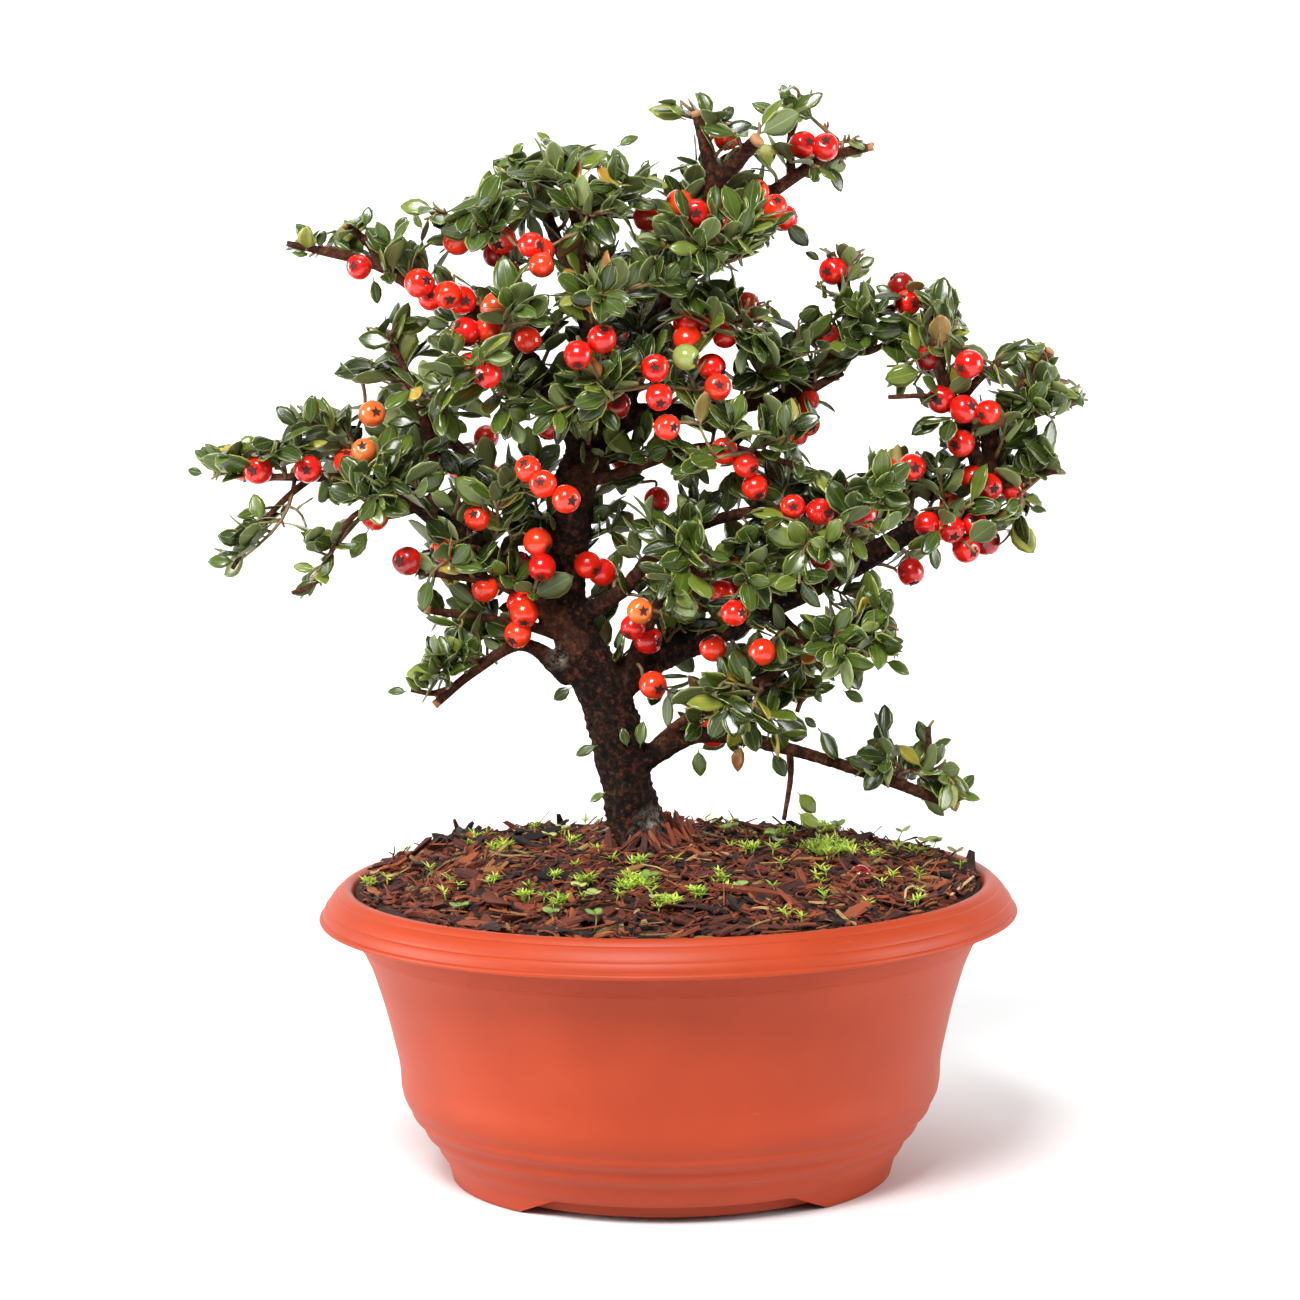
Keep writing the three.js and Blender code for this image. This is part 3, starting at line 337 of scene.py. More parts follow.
# The edge of the crown and its widest gaps, read from the photograph; leaves keep inside
CROWN_EDGE = [
    (186, 468), (195, 448), (228, 441), (250, 434), (282, 440), (278, 406), (295, 404), (312, 394),
    (327, 398), (330, 415), (345, 402), (380, 396), (388, 383), (365, 384), (333, 368), (348, 354),
    (378, 358), (388, 345), (358, 338), (372, 324), (392, 325), (381, 315), (395, 290), (380, 290),
    (380, 303), (370, 298), (358, 283), (335, 280), (330, 265), (285, 250), (286, 240), (298, 240),
    (293, 222), (327, 230), (345, 230), (346, 218), (368, 206), (380, 215), (407, 215), (405, 232),
    (418, 232), (425, 222), (400, 204), (436, 197), (440, 215), (462, 212), (465, 193), (480, 198),
    (478, 182), (494, 177), (490, 160), (495, 149), (510, 150), (525, 141), (525, 155), (540, 153),
    (538, 130), (560, 146), (583, 146), (620, 132), (638, 134), (625, 158), (648, 162), (672, 150),
    (690, 143), (690, 128), (650, 108), (660, 100), (682, 100), (702, 90), (716, 105), (733, 106),
    (728, 120), (750, 121), (765, 122), (753, 104), (757, 98), (775, 100), (780, 83), (808, 87),
    (823, 93), (806, 120), (812, 132), (840, 140), (868, 138), (878, 148), (845, 165), (845, 192),
    (820, 180), (790, 192), (796, 215), (808, 230), (808, 247), (780, 230), (768, 252), (735, 268),
    (742, 290), (782, 310), (772, 320), (776, 333), (768, 343), (800, 342), (775, 325), (780, 312),
    (802, 296), (820, 306), (840, 306), (808, 291), (815, 280), (835, 284), (820, 260), (805, 252),
    (822, 247), (838, 248), (842, 238), (855, 250), (875, 256), (882, 270), (872, 284), (910, 278),
    (948, 278), (963, 303), (948, 310), (972, 325), (950, 345), (985, 345), (988, 362), (993, 350),
    (1010, 342), (1028, 336), (1055, 348), (1063, 360), (1050, 372), (1085, 385), (1090, 402),
    (1062, 414), (1050, 430), (1062, 445), (1068, 474), (1025, 488), (1045, 498), (1048, 512),
    (1030, 520), (1035, 555), (1018, 540), (990, 558), (970, 562), (945, 548), (940, 572), (918, 560),
    (905, 586), (900, 565), (880, 565), (895, 600), (890, 625), (905, 632), (905, 660), (912, 674),
    (868, 668), (863, 702), (830, 685), (825, 702), (800, 700), (800, 722), (780, 712), (775, 725),
    (818, 728), (840, 740), (860, 752), (872, 735), (875, 708), (893, 705), (890, 745), (905, 742),
    (925, 755), (924, 718), (950, 722), (955, 745), (935, 748), (965, 772), (984, 800), (960, 820),
    (895, 800), (850, 790), (830, 778), (822, 815), (820, 830), (795, 830), (790, 790), (750, 755),
    (745, 775), (720, 755), (703, 778), (692, 750), (650, 760), (655, 815), (605, 815), (585, 802),
    (598, 760), (573, 760), (592, 740), (552, 700), (555, 688), (572, 685), (540, 645), (500, 650),
    (455, 680), (440, 705), (410, 700), (405, 672), (430, 645), (413, 600), (418, 588), (440, 580),
    (405, 578), (392, 562), (432, 530), (400, 520), (355, 560), (345, 530), (325, 590), (292, 600),
    (288, 585), (325, 555), (300, 550), (300, 525), (355, 517), (345, 505), (300, 505), (280, 520),
    (235, 580), (205, 570), (215, 533), (236, 503), (255, 500), (248, 478), (205, 480),
]
CROWN_GAPS = [
    [(850, 358), (895, 346), (915, 345), (905, 358), (885, 365), (883, 380), (890, 392), (886, 402),
     (915, 405), (925, 412), (908, 438), (930, 440), (930, 452), (905, 443), (870, 446), (858, 455),
     (865, 465), (845, 475), (830, 475), (800, 450), (805, 436), (820, 425), (843, 420), (845, 405),
     (838, 395), (850, 380)],
    [(440, 258), (465, 250), (500, 262), (505, 275), (480, 285), (450, 270)],
    [(690, 424), (720, 428), (735, 440), (720, 447), (690, 445), (680, 435)],
    [(722, 520), (745, 516), (752, 525), (722, 540), (712, 552), (700, 545), (712, 530)],
    [(650, 466), (672, 474), (670, 490), (650, 484)],
]
# Single leaves that stand out: pixel across and down of the stalk and of the tip, and depth
LEAVES_SEEN = [
    (266, 511, 237, 513, -16), (263, 525, 243, 521, -17), (248, 541, 218, 535, -19),
    (291, 503, 280, 516, -13), (236, 562, 208, 561, -20), (325, 529, 303, 541, -24),
    (369, 529, 350, 557, -20), (318, 570, 294, 566, -25), (318, 580, 294, 594, -26),
    (797, 792, 816, 812, -20), (797, 812, 818, 827, -20), (772, 752, 785, 776, -18),
    (818, 728, 840, 758, -17), (803, 716, 816, 727, -18), (883, 738, 887, 706, -16),
    (922, 768, 902, 744, -14), (928, 748, 918, 722, -15), (931, 748, 950, 738, -15),
    (957, 795, 980, 797, -14), (958, 792, 974, 776, -14), (742, 744, 735, 771, -8),
    (698, 748, 700, 776, -6), (572, 687, 554, 699, -8), (598, 745, 576, 755, -8),
    (606, 792, 590, 801, -9), (640, 748, 643, 722, -9), (628, 748, 622, 728, -9),
    (313, 247, 297, 224, -20), (317, 248, 325, 231, -20), (373, 277, 378, 303, -22),
    (395, 257, 406, 240, -18), (686, 120, 651, 105, 2), (711, 119, 701, 92, 4), (800, 112, 822, 93, 14),
    (780, 116, 754, 101, 12), (826, 164, 843, 190, 16), (786, 221, 807, 246, 8), (527, 189, 489, 205, -6),
    (480, 200, 492, 178, -8), (436, 210, 401, 205, -14), (386, 368, 335, 367, -14),
    (394, 343, 359, 337, -16), (300, 428, 277, 407, -14), (310, 427, 312, 396, -14),
    (552, 147, 539, 131, 6), (617, 147, 637, 135, 10), (1010, 518, 1033, 552, 4),
    (932, 541, 937, 569, -4), (924, 371, 886, 379, -8), (946, 417, 912, 434, -8),
    (851, 266, 844, 243, 16), (821, 261, 806, 252, 14), (1052, 466, 1064, 474, 10),
    (1028, 509, 1046, 509, 4), (204, 474, 188, 470, -12), (215, 468, 197, 449, -12),
    (431, 674, 425, 654, -14), (452, 669, 443, 645, -13), (466, 660, 456, 642, -12),
    (430, 691, 415, 672, -15), (481, 655, 471, 638, -10), (422, 694, 408, 676, -14),
    (884, 661, 910, 672, -26), (870, 615, 898, 628, -24), (883, 646, 903, 640, -25),
    (842, 690, 863, 701, -22), (720, 124, 733, 107, 2), (720, 133, 751, 124, 2), (790, 108, 782, 85, 12),
    (352, 252, 334, 238, -18), (423, 230, 413, 214, -14), (366, 228, 368, 207, -16),
    (394, 238, 406, 217, -14), (640, 175, 648, 160, 8), (553, 170, 594, 151, 8), (511, 157, 523, 143, 4),
    (1068, 400, 1078, 386, 12), (1010, 364, 1018, 351, 8), (896, 296, 877, 286, 16),
    (923, 296, 947, 281, 18), (855, 268, 874, 258, 16), (948, 335, 969, 329, 2),
    (840, 664, 859, 688, -22), (812, 689, 822, 702, -18), (556, 213, 528, 200, -10),
    (650, 272, 632, 248, -26), (408, 692, 388, 690, -15), (950, 342, 968, 337, 2),
    (600, 183, 618, 152, 6), (1022, 350, 1014, 340, 8),
]

# Where moss, seedlings and odd bits lie on the mulch: pixel across and down; moss adds spread and count,
# a long chip has both ends and its tone, and the heap of chips has its range across and down
MOSS_PATCHES = [
    (830, 853, 15, 70), (850, 829, 14, 110), (633, 882, 14, 34), (587, 880, 5, 7), (667, 908, 7, 14),
    (697, 898, 8, 10), (727, 912, 5, 5), (503, 847, 7, 14), (553, 840, 5, 6), (560, 900, 4, 5),
    (525, 898, 5, 4), (373, 888, 3, 4), (552, 883, 4, 4), (875, 862, 6, 4), (893, 880, 3, 2),
    (910, 858, 5, 3), (927, 910, 4, 3), (817, 878, 8, 4), (750, 855, 5, 6), (780, 840, 5, 6),
    (573, 847, 4, 3), (493, 887, 5, 3), (473, 850, 3, 2), (718, 877, 6, 4), (640, 868, 8, 6),
]
SEEDLINGS = [
    (769, 850), (735, 887), (650, 890), (660, 901), (935, 852), (933, 840), (948, 848), (957, 863),
    (580, 883), (858, 833), (870, 830), (595, 931),
]
FALLEN_BERRY = (860, 872)
SEED_SCALES = [(470, 879), (497, 918)]
PALE_STICK = [(976, 880), (970, 900)]
ROOTLET = [(905, 905), (907, 897), (916, 894), (924, 897), (924, 903)]
ODD_BITS = [(740, 915), (693, 855), (817, 908), (760, 915), (377, 878)]
HEAP_ACROSS = (368, 560)
HEAP_DOWN = (828, 852)
LONG_CHIPS = [((477, 873), (510, 863), 0.78), ((488, 824), (518, 828), 0.08), ((715, 898), (795, 897), 0.5)]


# Shared tools

def to_frame(points):
    """Millimetres about the bowl's axis, as metres in the frame."""
    return np.asarray(points, float) * MM + BOWL_AXIS


def unit(vector):
    """The vector made one long."""
    vector = np.asarray(vector, float)
    return vector / max(np.linalg.norm(vector), 1e-9)


def sight(pixel):
    """The way of sight through a pixel of the photograph, one long towards +Y."""
    x, y = pixel[0] - PHOTO_CENTRE, pixel[1] - PHOTO_CENTRE
    c, s = math.cos(CAMERA_ROLL), math.sin(CAMERA_ROLL)
    right, down = (x * c + y * s) / FOCAL_PIXELS, (-x * s + y * c) / FOCAL_PIXELS
    tilt_c, tilt_s = math.cos(CAMERA_DOWN), math.sin(CAMERA_DOWN)
    way = np.array([right, tilt_c - down * tilt_s, -tilt_s - down * tilt_c])
    return way / way[1]


def at_depth(pixel, depth):
    """The point at a depth y that a pixel of the photograph shows."""
    return np.array(CAMERA_PLACE) + sight(pixel) * (depth - CAMERA_PLACE[1])


def pixel_of(point):
    """The pixel of the photograph that shows a point."""
    x, y, z = np.asarray(point, float) - CAMERA_PLACE
    forward = y * math.cos(CAMERA_DOWN) - z * math.sin(CAMERA_DOWN)
    right, down = x / forward, (-y * math.sin(CAMERA_DOWN) - z * math.cos(CAMERA_DOWN)) / forward
    c, s = math.cos(CAMERA_ROLL), math.sin(CAMERA_ROLL)
    across = PHOTO_CENTRE + FOCAL_PIXELS * (right * c - down * s)
    return across, PHOTO_CENTRE + FOCAL_PIXELS * (right * s + down * c)


def inside(pixel, outline):
    """Whether a pixel lies within an outline: a line from it crosses the edge an odd number of times."""
    x, y = pixel
    ax, ay = np.array(outline, float).T
    bx, by = np.roll(ax, -1), np.roll(ay, -1)
    spans = (ay > y) != (by > y)
    cross = ax + (y - ay) * (bx - ax) / np.where(by == ay, 1, by - ay)
    return np.count_nonzero(spans & (x < cross)) % 2 == 1


def in_crown(point):
    """Whether a point shows inside the crown of the photograph."""
    pixel = pixel_of(point)
    return inside(pixel, CROWN_EDGE) and not any(inside(pixel, gap) for gap in CROWN_GAPS)


def drawn_in(start, end):
    """The end of a twig, brought back towards its start until it shows inside the crown."""
    end = np.array(end, float)
    for _ in range(8):
        if in_crown(end):
            break
        end = start + (end - start) * 0.85
    return end


def on_soil(pixel):
    """Where the line of sight through a pixel meets the mulch, as x and y."""
    way = sight(pixel)
    height = SOIL_EDGE_HEIGHT + 5
    for _ in range(4):
        x, y = (np.array(CAMERA_PLACE) + way * (height - CAMERA_PLACE[2]) / way[2])[:2]
        reach = min(1.0, (SOIL_RADIUS - 2) / math.hypot(x, y))
        x, y = x * reach, y * reach
        height = soil_surface(x, y) + 1.2
    return x, y


def soil_height(r):
    """The height of the smooth mound at a distance from the axis."""
    return SOIL_EDGE_HEIGHT + SOIL_MOUND * (1 - (r / SOIL_RADIUS) ** 2)


class Pile:
    """The points, faces and values of one piece while it grows."""

    def __init__(self):
        self.points, self.faces, self.uvs, self.tones, self.marks = [], [], [], [], []
        self.count = 0

    def add(self, points, faces, uvs=None, tone=0.5, marks=0):
        """Adds a shape; its marks say which material each face has."""
        points = np.asarray(points, float)
        self.points.append(points)
        self.faces.extend(tuple(i + self.count for i in face) for face in faces)
        self.uvs.append(np.zeros((len(points), 2)) if uvs is None else np.asarray(uvs, float))
        self.tones.append(np.full(len(points), tone) if np.isscalar(tone) else np.asarray(tone, float))
        self.marks.extend([marks] * len(faces) if np.isscalar(marks) else marks)
        self.count += len(points)

    def piece(self, name, materials, slot, nodes=(), smooth=True):
        """Makes the object, which rides on the body and stands for the given nodes."""
        mesh = bpy.data.meshes.new(name)
        mesh.from_pydata(to_frame(np.concatenate(self.points)).tolist(), [], self.faces)
        uvs, tones = np.concatenate(self.uvs), np.concatenate(self.tones)
        corners = np.empty(len(mesh.loops), dtype=np.int32)
        mesh.loops.foreach_get("vertex_index", corners)
        layer = mesh.uv_layers.new(name="shape")
        layer.data.foreach_set("uv", uvs[corners].astype(np.float32).ravel())
        tone = mesh.attributes.new("tone", "FLOAT", "POINT")
        tone.data.foreach_set("value", tones.astype(np.float32))
        mesh.polygons.foreach_set("material_index", np.array(self.marks, dtype=np.int32))
        mesh.polygons.foreach_set("use_smooth", np.full(len(mesh.polygons), smooth))
        for material in materials:
            mesh.materials.append(material)
        mesh.update()
        made = bpy.data.objects.new(name, mesh)
        bpy.context.scene.collection.objects.link(made)
        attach(made, "root")
        if nodes:
            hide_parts(*nodes)
        return made


def smooth_path(points, per_span):
    """A curve through points of any width, with per_span steps from each to the next."""
    p = np.asarray(points, float)
    ends = np.vstack([2 * p[0] - p[1], p, 2 * p[-1] - p[-2]])
    path = []
    for i in range(1, len(ends) - 2):
        a, b, c, d = ends[i - 1], ends[i], ends[i + 1], ends[i + 2]
        for t in np.arange(per_span) / per_span:
            path.append(0.5 * (2 * b + (c - a) * t + (2 * a - 5 * b + 4 * c - d) * t * t
                               + (3 * b - a - 3 * c + d) * t ** 3))
    path.append(p[-1])
    return np.array(path)


def tube(path, radii, sides):
    """A closed round tube along a path: its points, faces and values along and around."""
    path, radii = np.asarray(path, float), np.asarray(radii, float)
    way = np.gradient(path, axis=0)
    side = unit(np.cross(way[0], (0.3, 0.9, 0.2)))
    points, uvs = [], []
    along = 0.0
    for k, centre in enumerate(path):
        forward = unit(way[k])
        side = unit(side - forward * np.dot(side, forward))
        other = np.cross(forward, side)
        if k:
            along += np.linalg.norm(centre - path[k - 1])
        for j in range(sides):
            a = TURN * j / sides
            points.append(centre + radii[k] * (math.cos(a) * side + math.sin(a) * other))
            uvs.append((along, j / sides))
    faces = []
    for k in range(len(path) - 1):
        for j in range(sides):
            a, b = k * sides + j, k * sides + (j + 1) % sides
            faces.append((a, b, b + sides, a + sides))
    faces.append(tuple(range(sides))[::-1])
    faces.append(tuple((len(path) - 1) * sides + j for j in range(sides)))
    return points, faces, uvs


def ball_faces(segments, rings):
    """Faces of a ball whose points are its top, each ring downwards and its bottom."""
    faces = []
    last = 1 + (rings - 2) * segments
    for j in range(segments):
        n = (j + 1) % segments
        faces.append((0, 1 + j, 1 + n))
        for i in range(rings - 2):
            a = 1 + i * segments
            faces.append((a + j, a + segments + j, a + segments + n, a + n))
        faces.append((last + j, last + segments, last + n))
    return faces


def ball(centre, radius, segments, rings):
    """A round ball: its points, faces and values across it."""
    points, uvs = [centre + np.array([0, 0, radius])], [(0, 0)]
    for i in range(1, rings):
        polar = math.pi * i / rings
        for j in range(segments):
            a = TURN * j / segments
            out = np.array([math.cos(a) * math.sin(polar), math.sin(a) * math.sin(polar), math.cos(polar)])
            points.append(centre + out * radius)
            uvs.append((out[0] * 3, out[1] * 3))
    points.append(centre - np.array([0, 0, radius]))
    uvs.append((1, 1))
    return points, ball_faces(segments, rings), uvs


# Materials

def colour(text):
    """An sRGB hex value as linear light."""
    parts = [int(text[i:i + 2], 16) / 255 for i in (1, 3, 5)]
    return (*[p / 12.92 if p <= 0.04045 else ((p + 0.055) / 1.055) ** 2.4 for p in parts], 1.0)


def per_mm(size):
    """The scale that gives a pattern features of this many millimetres."""
    return 1 / (size * MM)


def put(tree, kind, settings=None, links=None):
    """Adds a node, with values for its sockets or properties. An input is linked to an output, or to
    the first output of a node."""
    added = tree.nodes.new("ShaderNode" + kind)
    for key, value in (settings or {}).items():
        if isinstance(key, int) or key in added.inputs:
            added.inputs[key].default_value = value
        elif key == "stops":
            ramp = added.color_ramp
            while len(ramp.elements) < len(value):
                ramp.elements.new(0.5)
            for element, (place, shade) in zip(ramp.elements, value):
                element.position, element.color = place, colour(shade)
        else:
            setattr(added, key, value)
    for key, source in (links or {}).items():
        output = source.outputs[0] if isinstance(source, bpy.types.Node) else source
        tree.links.new(output, added.inputs[key])
    return added


# Sockets of the colour Mix node, which share their names: the share, the colour under, the colour
# over and the result
SHARE, UNDER, OVER, MIXED = 0, 6, 7, 2


def surface(name, **settings):
    """A new material and its shader, with what is the same all over set on the shader itself."""
    material = bpy.data.materials.new(name)
    material.use_nodes = True
    tree = material.node_tree
    shader = tree.nodes["Principled BSDF"]
    for key, value in settings.items():
        shader.inputs[key.replace("_", " ")].default_value = value
    return material, tree, shader


def tinted(tree, base, layers):
    """A colour with tints laid over it, each by its own share."""
    for share, tint in layers:
        base = put(tree, "Mix", {"data_type": "RGBA", OVER: colour(tint)},
                   {SHARE: share, UNDER: base}).outputs[MIXED]
    return base


def dress(tree, shader, skin, relief, strength, depth, sunken=False):
    """Gives a material its colour and its relief, whose depth is in mm."""
    bump = put(tree, "Bump", {"Strength": strength, "Distance": depth * MM, "invert": sunken},
               {"Height": relief})
    tree.links.new(skin, shader.inputs["Base Color"])
    tree.links.new(bump.outputs["Normal"], shader.inputs["Normal"])


def moulded_polypropylene():
    """Terracotta-coloured polypropylene, injection moulded and lightly textured: an even, soft satin
    with faint flow mottling and a few pale scuffs."""
    material, tree, shader = surface("moulded_polypropylene", Roughness=0.5, Specular_IOR_Level=0.3)
    place = put(tree, "TexCoord").outputs["Object"]
    mottle = put(tree, "TexNoise", {"Scale": per_mm(26), "Detail": 3.0}, {"Vector": place})
    base = put(tree, "ValToRGB", {"stops": [(0.3, "#9b3311"), (0.7, "#a43815")]}, {"Fac": mottle})
    stretched = put(tree, "Mapping", {"Scale": (1.0, 1.0, 5.0)}, {"Vector": place})
    scuffs = put(tree, "TexNoise", {"Scale": per_mm(9), "Detail": 6.0, "Roughness": 0.75},
                 {"Vector": stretched})
    scuffed = put(tree, "ValToRGB", {"stops": [(0.66, "#000000"), (0.74, "#ffffff")]}, {"Fac": scuffs})
    share = put(tree, "Math", {"operation": "MULTIPLY", 1: 0.35}, {0: scuffed})
    grain = put(tree, "TexNoise", {"Scale": per_mm(0.9), "Detail": 2.0}, {"Vector": place})
    dress(tree, shader, tinted(tree, base, [(share, "#c46a4a")]), grain, 0.12, 0.12)
    return material


def near(tree, place, centre, reach):
    """A soft spot round a point given in mm: one in the middle, nothing beyond its reach."""
    middle = tuple(to_frame([centre])[0])
    gap = put(tree, "VectorMath", {"operation": "DISTANCE", 1: middle}, {0: place})
    return put(tree, "MapRange", {"From Min": reach * MM, "From Max": reach * MM * 0.35},
               {"Value": gap.outputs["Value"]})


def patches(tree, place, pattern, low, high, most=1.0):
    """Irregular patches: nothing where a noise is below the low level, the most above the high one."""
    cloud = put(tree, "TexNoise", {"noise_dimensions": "4D", **pattern}, {"Vector": place})
    return put(tree, "MapRange", {"From Min": low, "From Max": high, "To Max": most}, {"Value": cloud})


def old_bark():
    """Old cotoneaster bark: nearly black, rough and flaking, with rusty flecks where flakes have come
    off, grey weathered patches and specks of green algae. Thin wood is redder and smoother."""
    material, tree, shader = surface("cotoneaster_bark", Roughness=0.88, Specular_IOR_Level=0.15)
    place = put(tree, "TexCoord").outputs["Object"]
    girth = put(tree, "Attribute", {"attribute_name": "tone"}).outputs["Fac"]
    rough = put(tree, "TexNoise", {"Scale": per_mm(1.8), "Detail": 6.0, "Roughness": 0.7}, {"Vector": place})
    dark = put(tree, "ValToRGB", {"stops": [(0.34, "#050302"), (0.5, "#150c07"), (0.66, "#44291b")]},
               {"Fac": rough})
    young = put(tree, "ValToRGB", {"stops": [(0.3, "#23130c"), (0.5, "#4a2a1c"), (0.72, "#7e5034")]},
                {"Fac": rough})
    wood = put(tree, "Mix", {"data_type": "RGBA"}, {SHARE: girth, UNDER: young, OVER: dark}).outputs[MIXED]
    rust = patches(tree, place, {"Scale": per_mm(1.7), "Detail": 3.0, "W": 3.0}, 0.57, 0.66, 0.85)
    weather = patches(tree, place, {"Scale": per_mm(2.6), "Detail": 5.0, "Roughness": 0.75, "W": 8.6},
                      0.44, 0.6)
    algae = patches(tree, place, {"Scale": per_mm(1.6), "Detail": 3.0, "W": 21.0}, 0.7, 0.76)
    foot, fork = near(tree, place, *GREY_FOOT), near(tree, place, *GREY_FORK)
    spots = put(tree, "Math", {"operation": "MAXIMUM"}, {0: foot, 1: fork})
    bleached = put(tree, "Math", {"operation": "MULTIPLY"}, {0: weather, 1: spots})
    skin = tinted(tree, wood, [(rust, "#55281b"), (bleached, "#9c9488"), (algae, "#5d6a2c")])
    dress(tree, shader, skin, rough, 1.0, 1.2)
    return material


def young_twig():
    """Young cotoneaster shoots: smooth red-brown bark, greener where it is newest."""
    material, tree, shader = surface("young_twig_bark", Roughness=0.55)
    place = put(tree, "TexCoord").outputs["Object"]
    age = put(tree, "Attribute", {"attribute_name": "tone"}).outputs["Fac"]
    mottle = put(tree, "TexNoise", {"Scale": per_mm(2.5), "Detail": 4.0}, {"Vector": place})
    brown = put(tree, "ValToRGB", {"stops": [(0.3, "#3b2016"), (0.5, "#6b4030"), (0.75, "#9a6a48")]},
                {"Fac": mottle})
    base = put(tree, "Mix", {"data_type": "RGBA", UNDER: colour("#7f8a4a")}, {SHARE: age, OVER: brown})
    dress(tree, shader, base.outputs[MIXED], mottle, 0.5, 0.2)
    return material


def leaf_tone(tree, stops):
    """A leaf's tone, which is its own colour plus painted light and shade from its place in the crown, with
    soft blotches in it, as a colour.
    """
    tone = put(tree, "Attribute", {"attribute_name": "tone"}).outputs["Fac"]
    place = put(tree, "TexCoord").outputs["Object"]
    blotch = put(tree, "TexNoise", {"Scale": per_mm(3.5), "Detail": 3.0}, {"Vector": place})
    spread = put(tree, "Math", {"operation": "MULTIPLY_ADD", 1: 0.22, 2: -0.11}, {0: blotch})
    shade = put(tree, "Math", {"operation": "ADD"}, {0: tone, 1: spread})
    return put(tree, "ValToRGB", {"stops": stops}, {"Fac": shade})


def leaf_veins(tree, away, along):
    """Fine side veins that slant from the rib towards the tip."""
    slant = put(tree, "Math", {"operation": "MULTIPLY_ADD", 1: -0.3}, {0: away, 2: along})
    rows = put(tree, "Math", {"operation": "MULTIPLY", 1: TURN * 6.5}, {0: slant})
    waves = put(tree, "Math", {"operation": "COSINE"}, {0: rows})
    return put(tree, "MapRange", {"From Min": 0.8, "From Max": 1.0, "To Min": 0.0, "To Max": 0.1},
               {"Value": waves})


def leaf_surface(name, stops, margin_highlight, rib, gloss, coat):
    """A cotoneaster leaf seen from one side, from its outline: u runs across it and v along it."""
    material, tree, shader = surface(name, Roughness=gloss, Coat_Weight=coat, Coat_Roughness=0.18)
    shape = put(tree, "UVMap", {"uv_map": "shape"})
    split = put(tree, "SeparateXYZ", links={"Vector": shape})
    across = put(tree, "Math", {"operation": "MULTIPLY_ADD", 1: 2.0, 2: -1.0}, {0: split.outputs["X"]})
    away = put(tree, "Math", {"operation": "ABSOLUTE"}, {0: across})
    veins = leaf_veins(tree, away, split.outputs["Y"])
    middle = put(tree, "MapRange", {"From Min": 0.07, "From Max": 0.02, "To Max": 0.6}, {"Value": away})
    # A pale band along the leaf's edge: a painted highlight where the rolled margin catches the light.
    edge = put(tree, "MapRange", {"From Min": 0.84, "From Max": 0.96, "To Max": 0.95}, {"Value": away})
    skin = tinted(tree, leaf_tone(tree, stops), [(veins, rib), (middle, rib), (edge, margin_highlight)])
    relief = put(tree, "Math", {"operation": "MAXIMUM"}, {0: middle, 1: veins})
    dress(tree, shader, skin, relief, 0.35, 0.15, sunken=True)
    return material


def berry_skin():
    """Cotoneaster fruit: a taut, waxy, faintly cloudy skin with a sharp highlight. The tone is
    ripeness: green, then orange, then red, then dark red; the darkest red is partly painted shade."""
    material, tree, shader = surface("berry_skin", Roughness=0.22, Coat_Weight=0.5, Coat_Roughness=0.05,
                                     Subsurface_Weight=0.05, Subsurface_Scale=0.002)
    shader.inputs["Subsurface Radius"].default_value = (1.0, 0.25, 0.1)
    place = put(tree, "TexCoord").outputs["Object"]
    ripe_and_shaded = put(tree, "Attribute", {"attribute_name": "tone"}).outputs["Fac"]
    cloud = put(tree, "TexNoise", {"Scale": per_mm(4.5), "Detail": 3.0}, {"Vector": place})
    drift = put(tree, "Math", {"operation": "MULTIPLY_ADD", 1: 0.16, 2: -0.08}, {0: cloud})
    shade = put(tree, "Math", {"operation": "ADD"}, {0: ripe_and_shaded, 1: drift})
    stops = [(0.0, "#8c9a4e"), (0.2, "#a8953f"), (0.42, "#dc6a2a"), (0.62, "#f04a1c"), (0.86, "#e81e0e"),
             (0.97, "#c9120c"), (1.0, "#86100c")]
    skin = put(tree, "ValToRGB", {"stops": stops}, {"Fac": shade})
    tree.links.new(skin.outputs["Color"], shader.inputs["Base Color"])
    return material


def plain_organic(name, stops, size, roughness, strength=0.4, depth=0.3, stretch=None, uv=False):
    """Bark chips, moss and other small dry or green bits: one noise for colour and relief. Its size is
    in mm, and so are the values across a chip."""
    material, tree, shader = surface(name, Roughness=roughness)
    if uv:
        place, scale = put(tree, "UVMap", {"uv_map": "shape"}).outputs["UV"], size
    else:
        place, scale = put(tree, "TexCoord").outputs["Object"], per_mm(size)
    if stretch:
        place = put(tree, "Mapping", {"Scale": stretch}, {"Vector": place})
    tone = put(tree, "Attribute", {"attribute_name": "tone"}).outputs["Fac"]
    grain = put(tree, "TexNoise", {"Scale": scale, "Detail": 5.0, "Roughness": 0.65}, {"Vector": place})
    spread = put(tree, "Math", {"operation": "MULTIPLY_ADD", 1: strength, 2: -strength / 2}, {0: grain})
    shade = put(tree, "Math", {"operation": "ADD"}, {0: tone, 1: spread})
    base = put(tree, "ValToRGB", {"stops": stops}, {"Fac": shade})
    dress(tree, shader, base.outputs["Color"], grain, 0.7, depth)
    return material


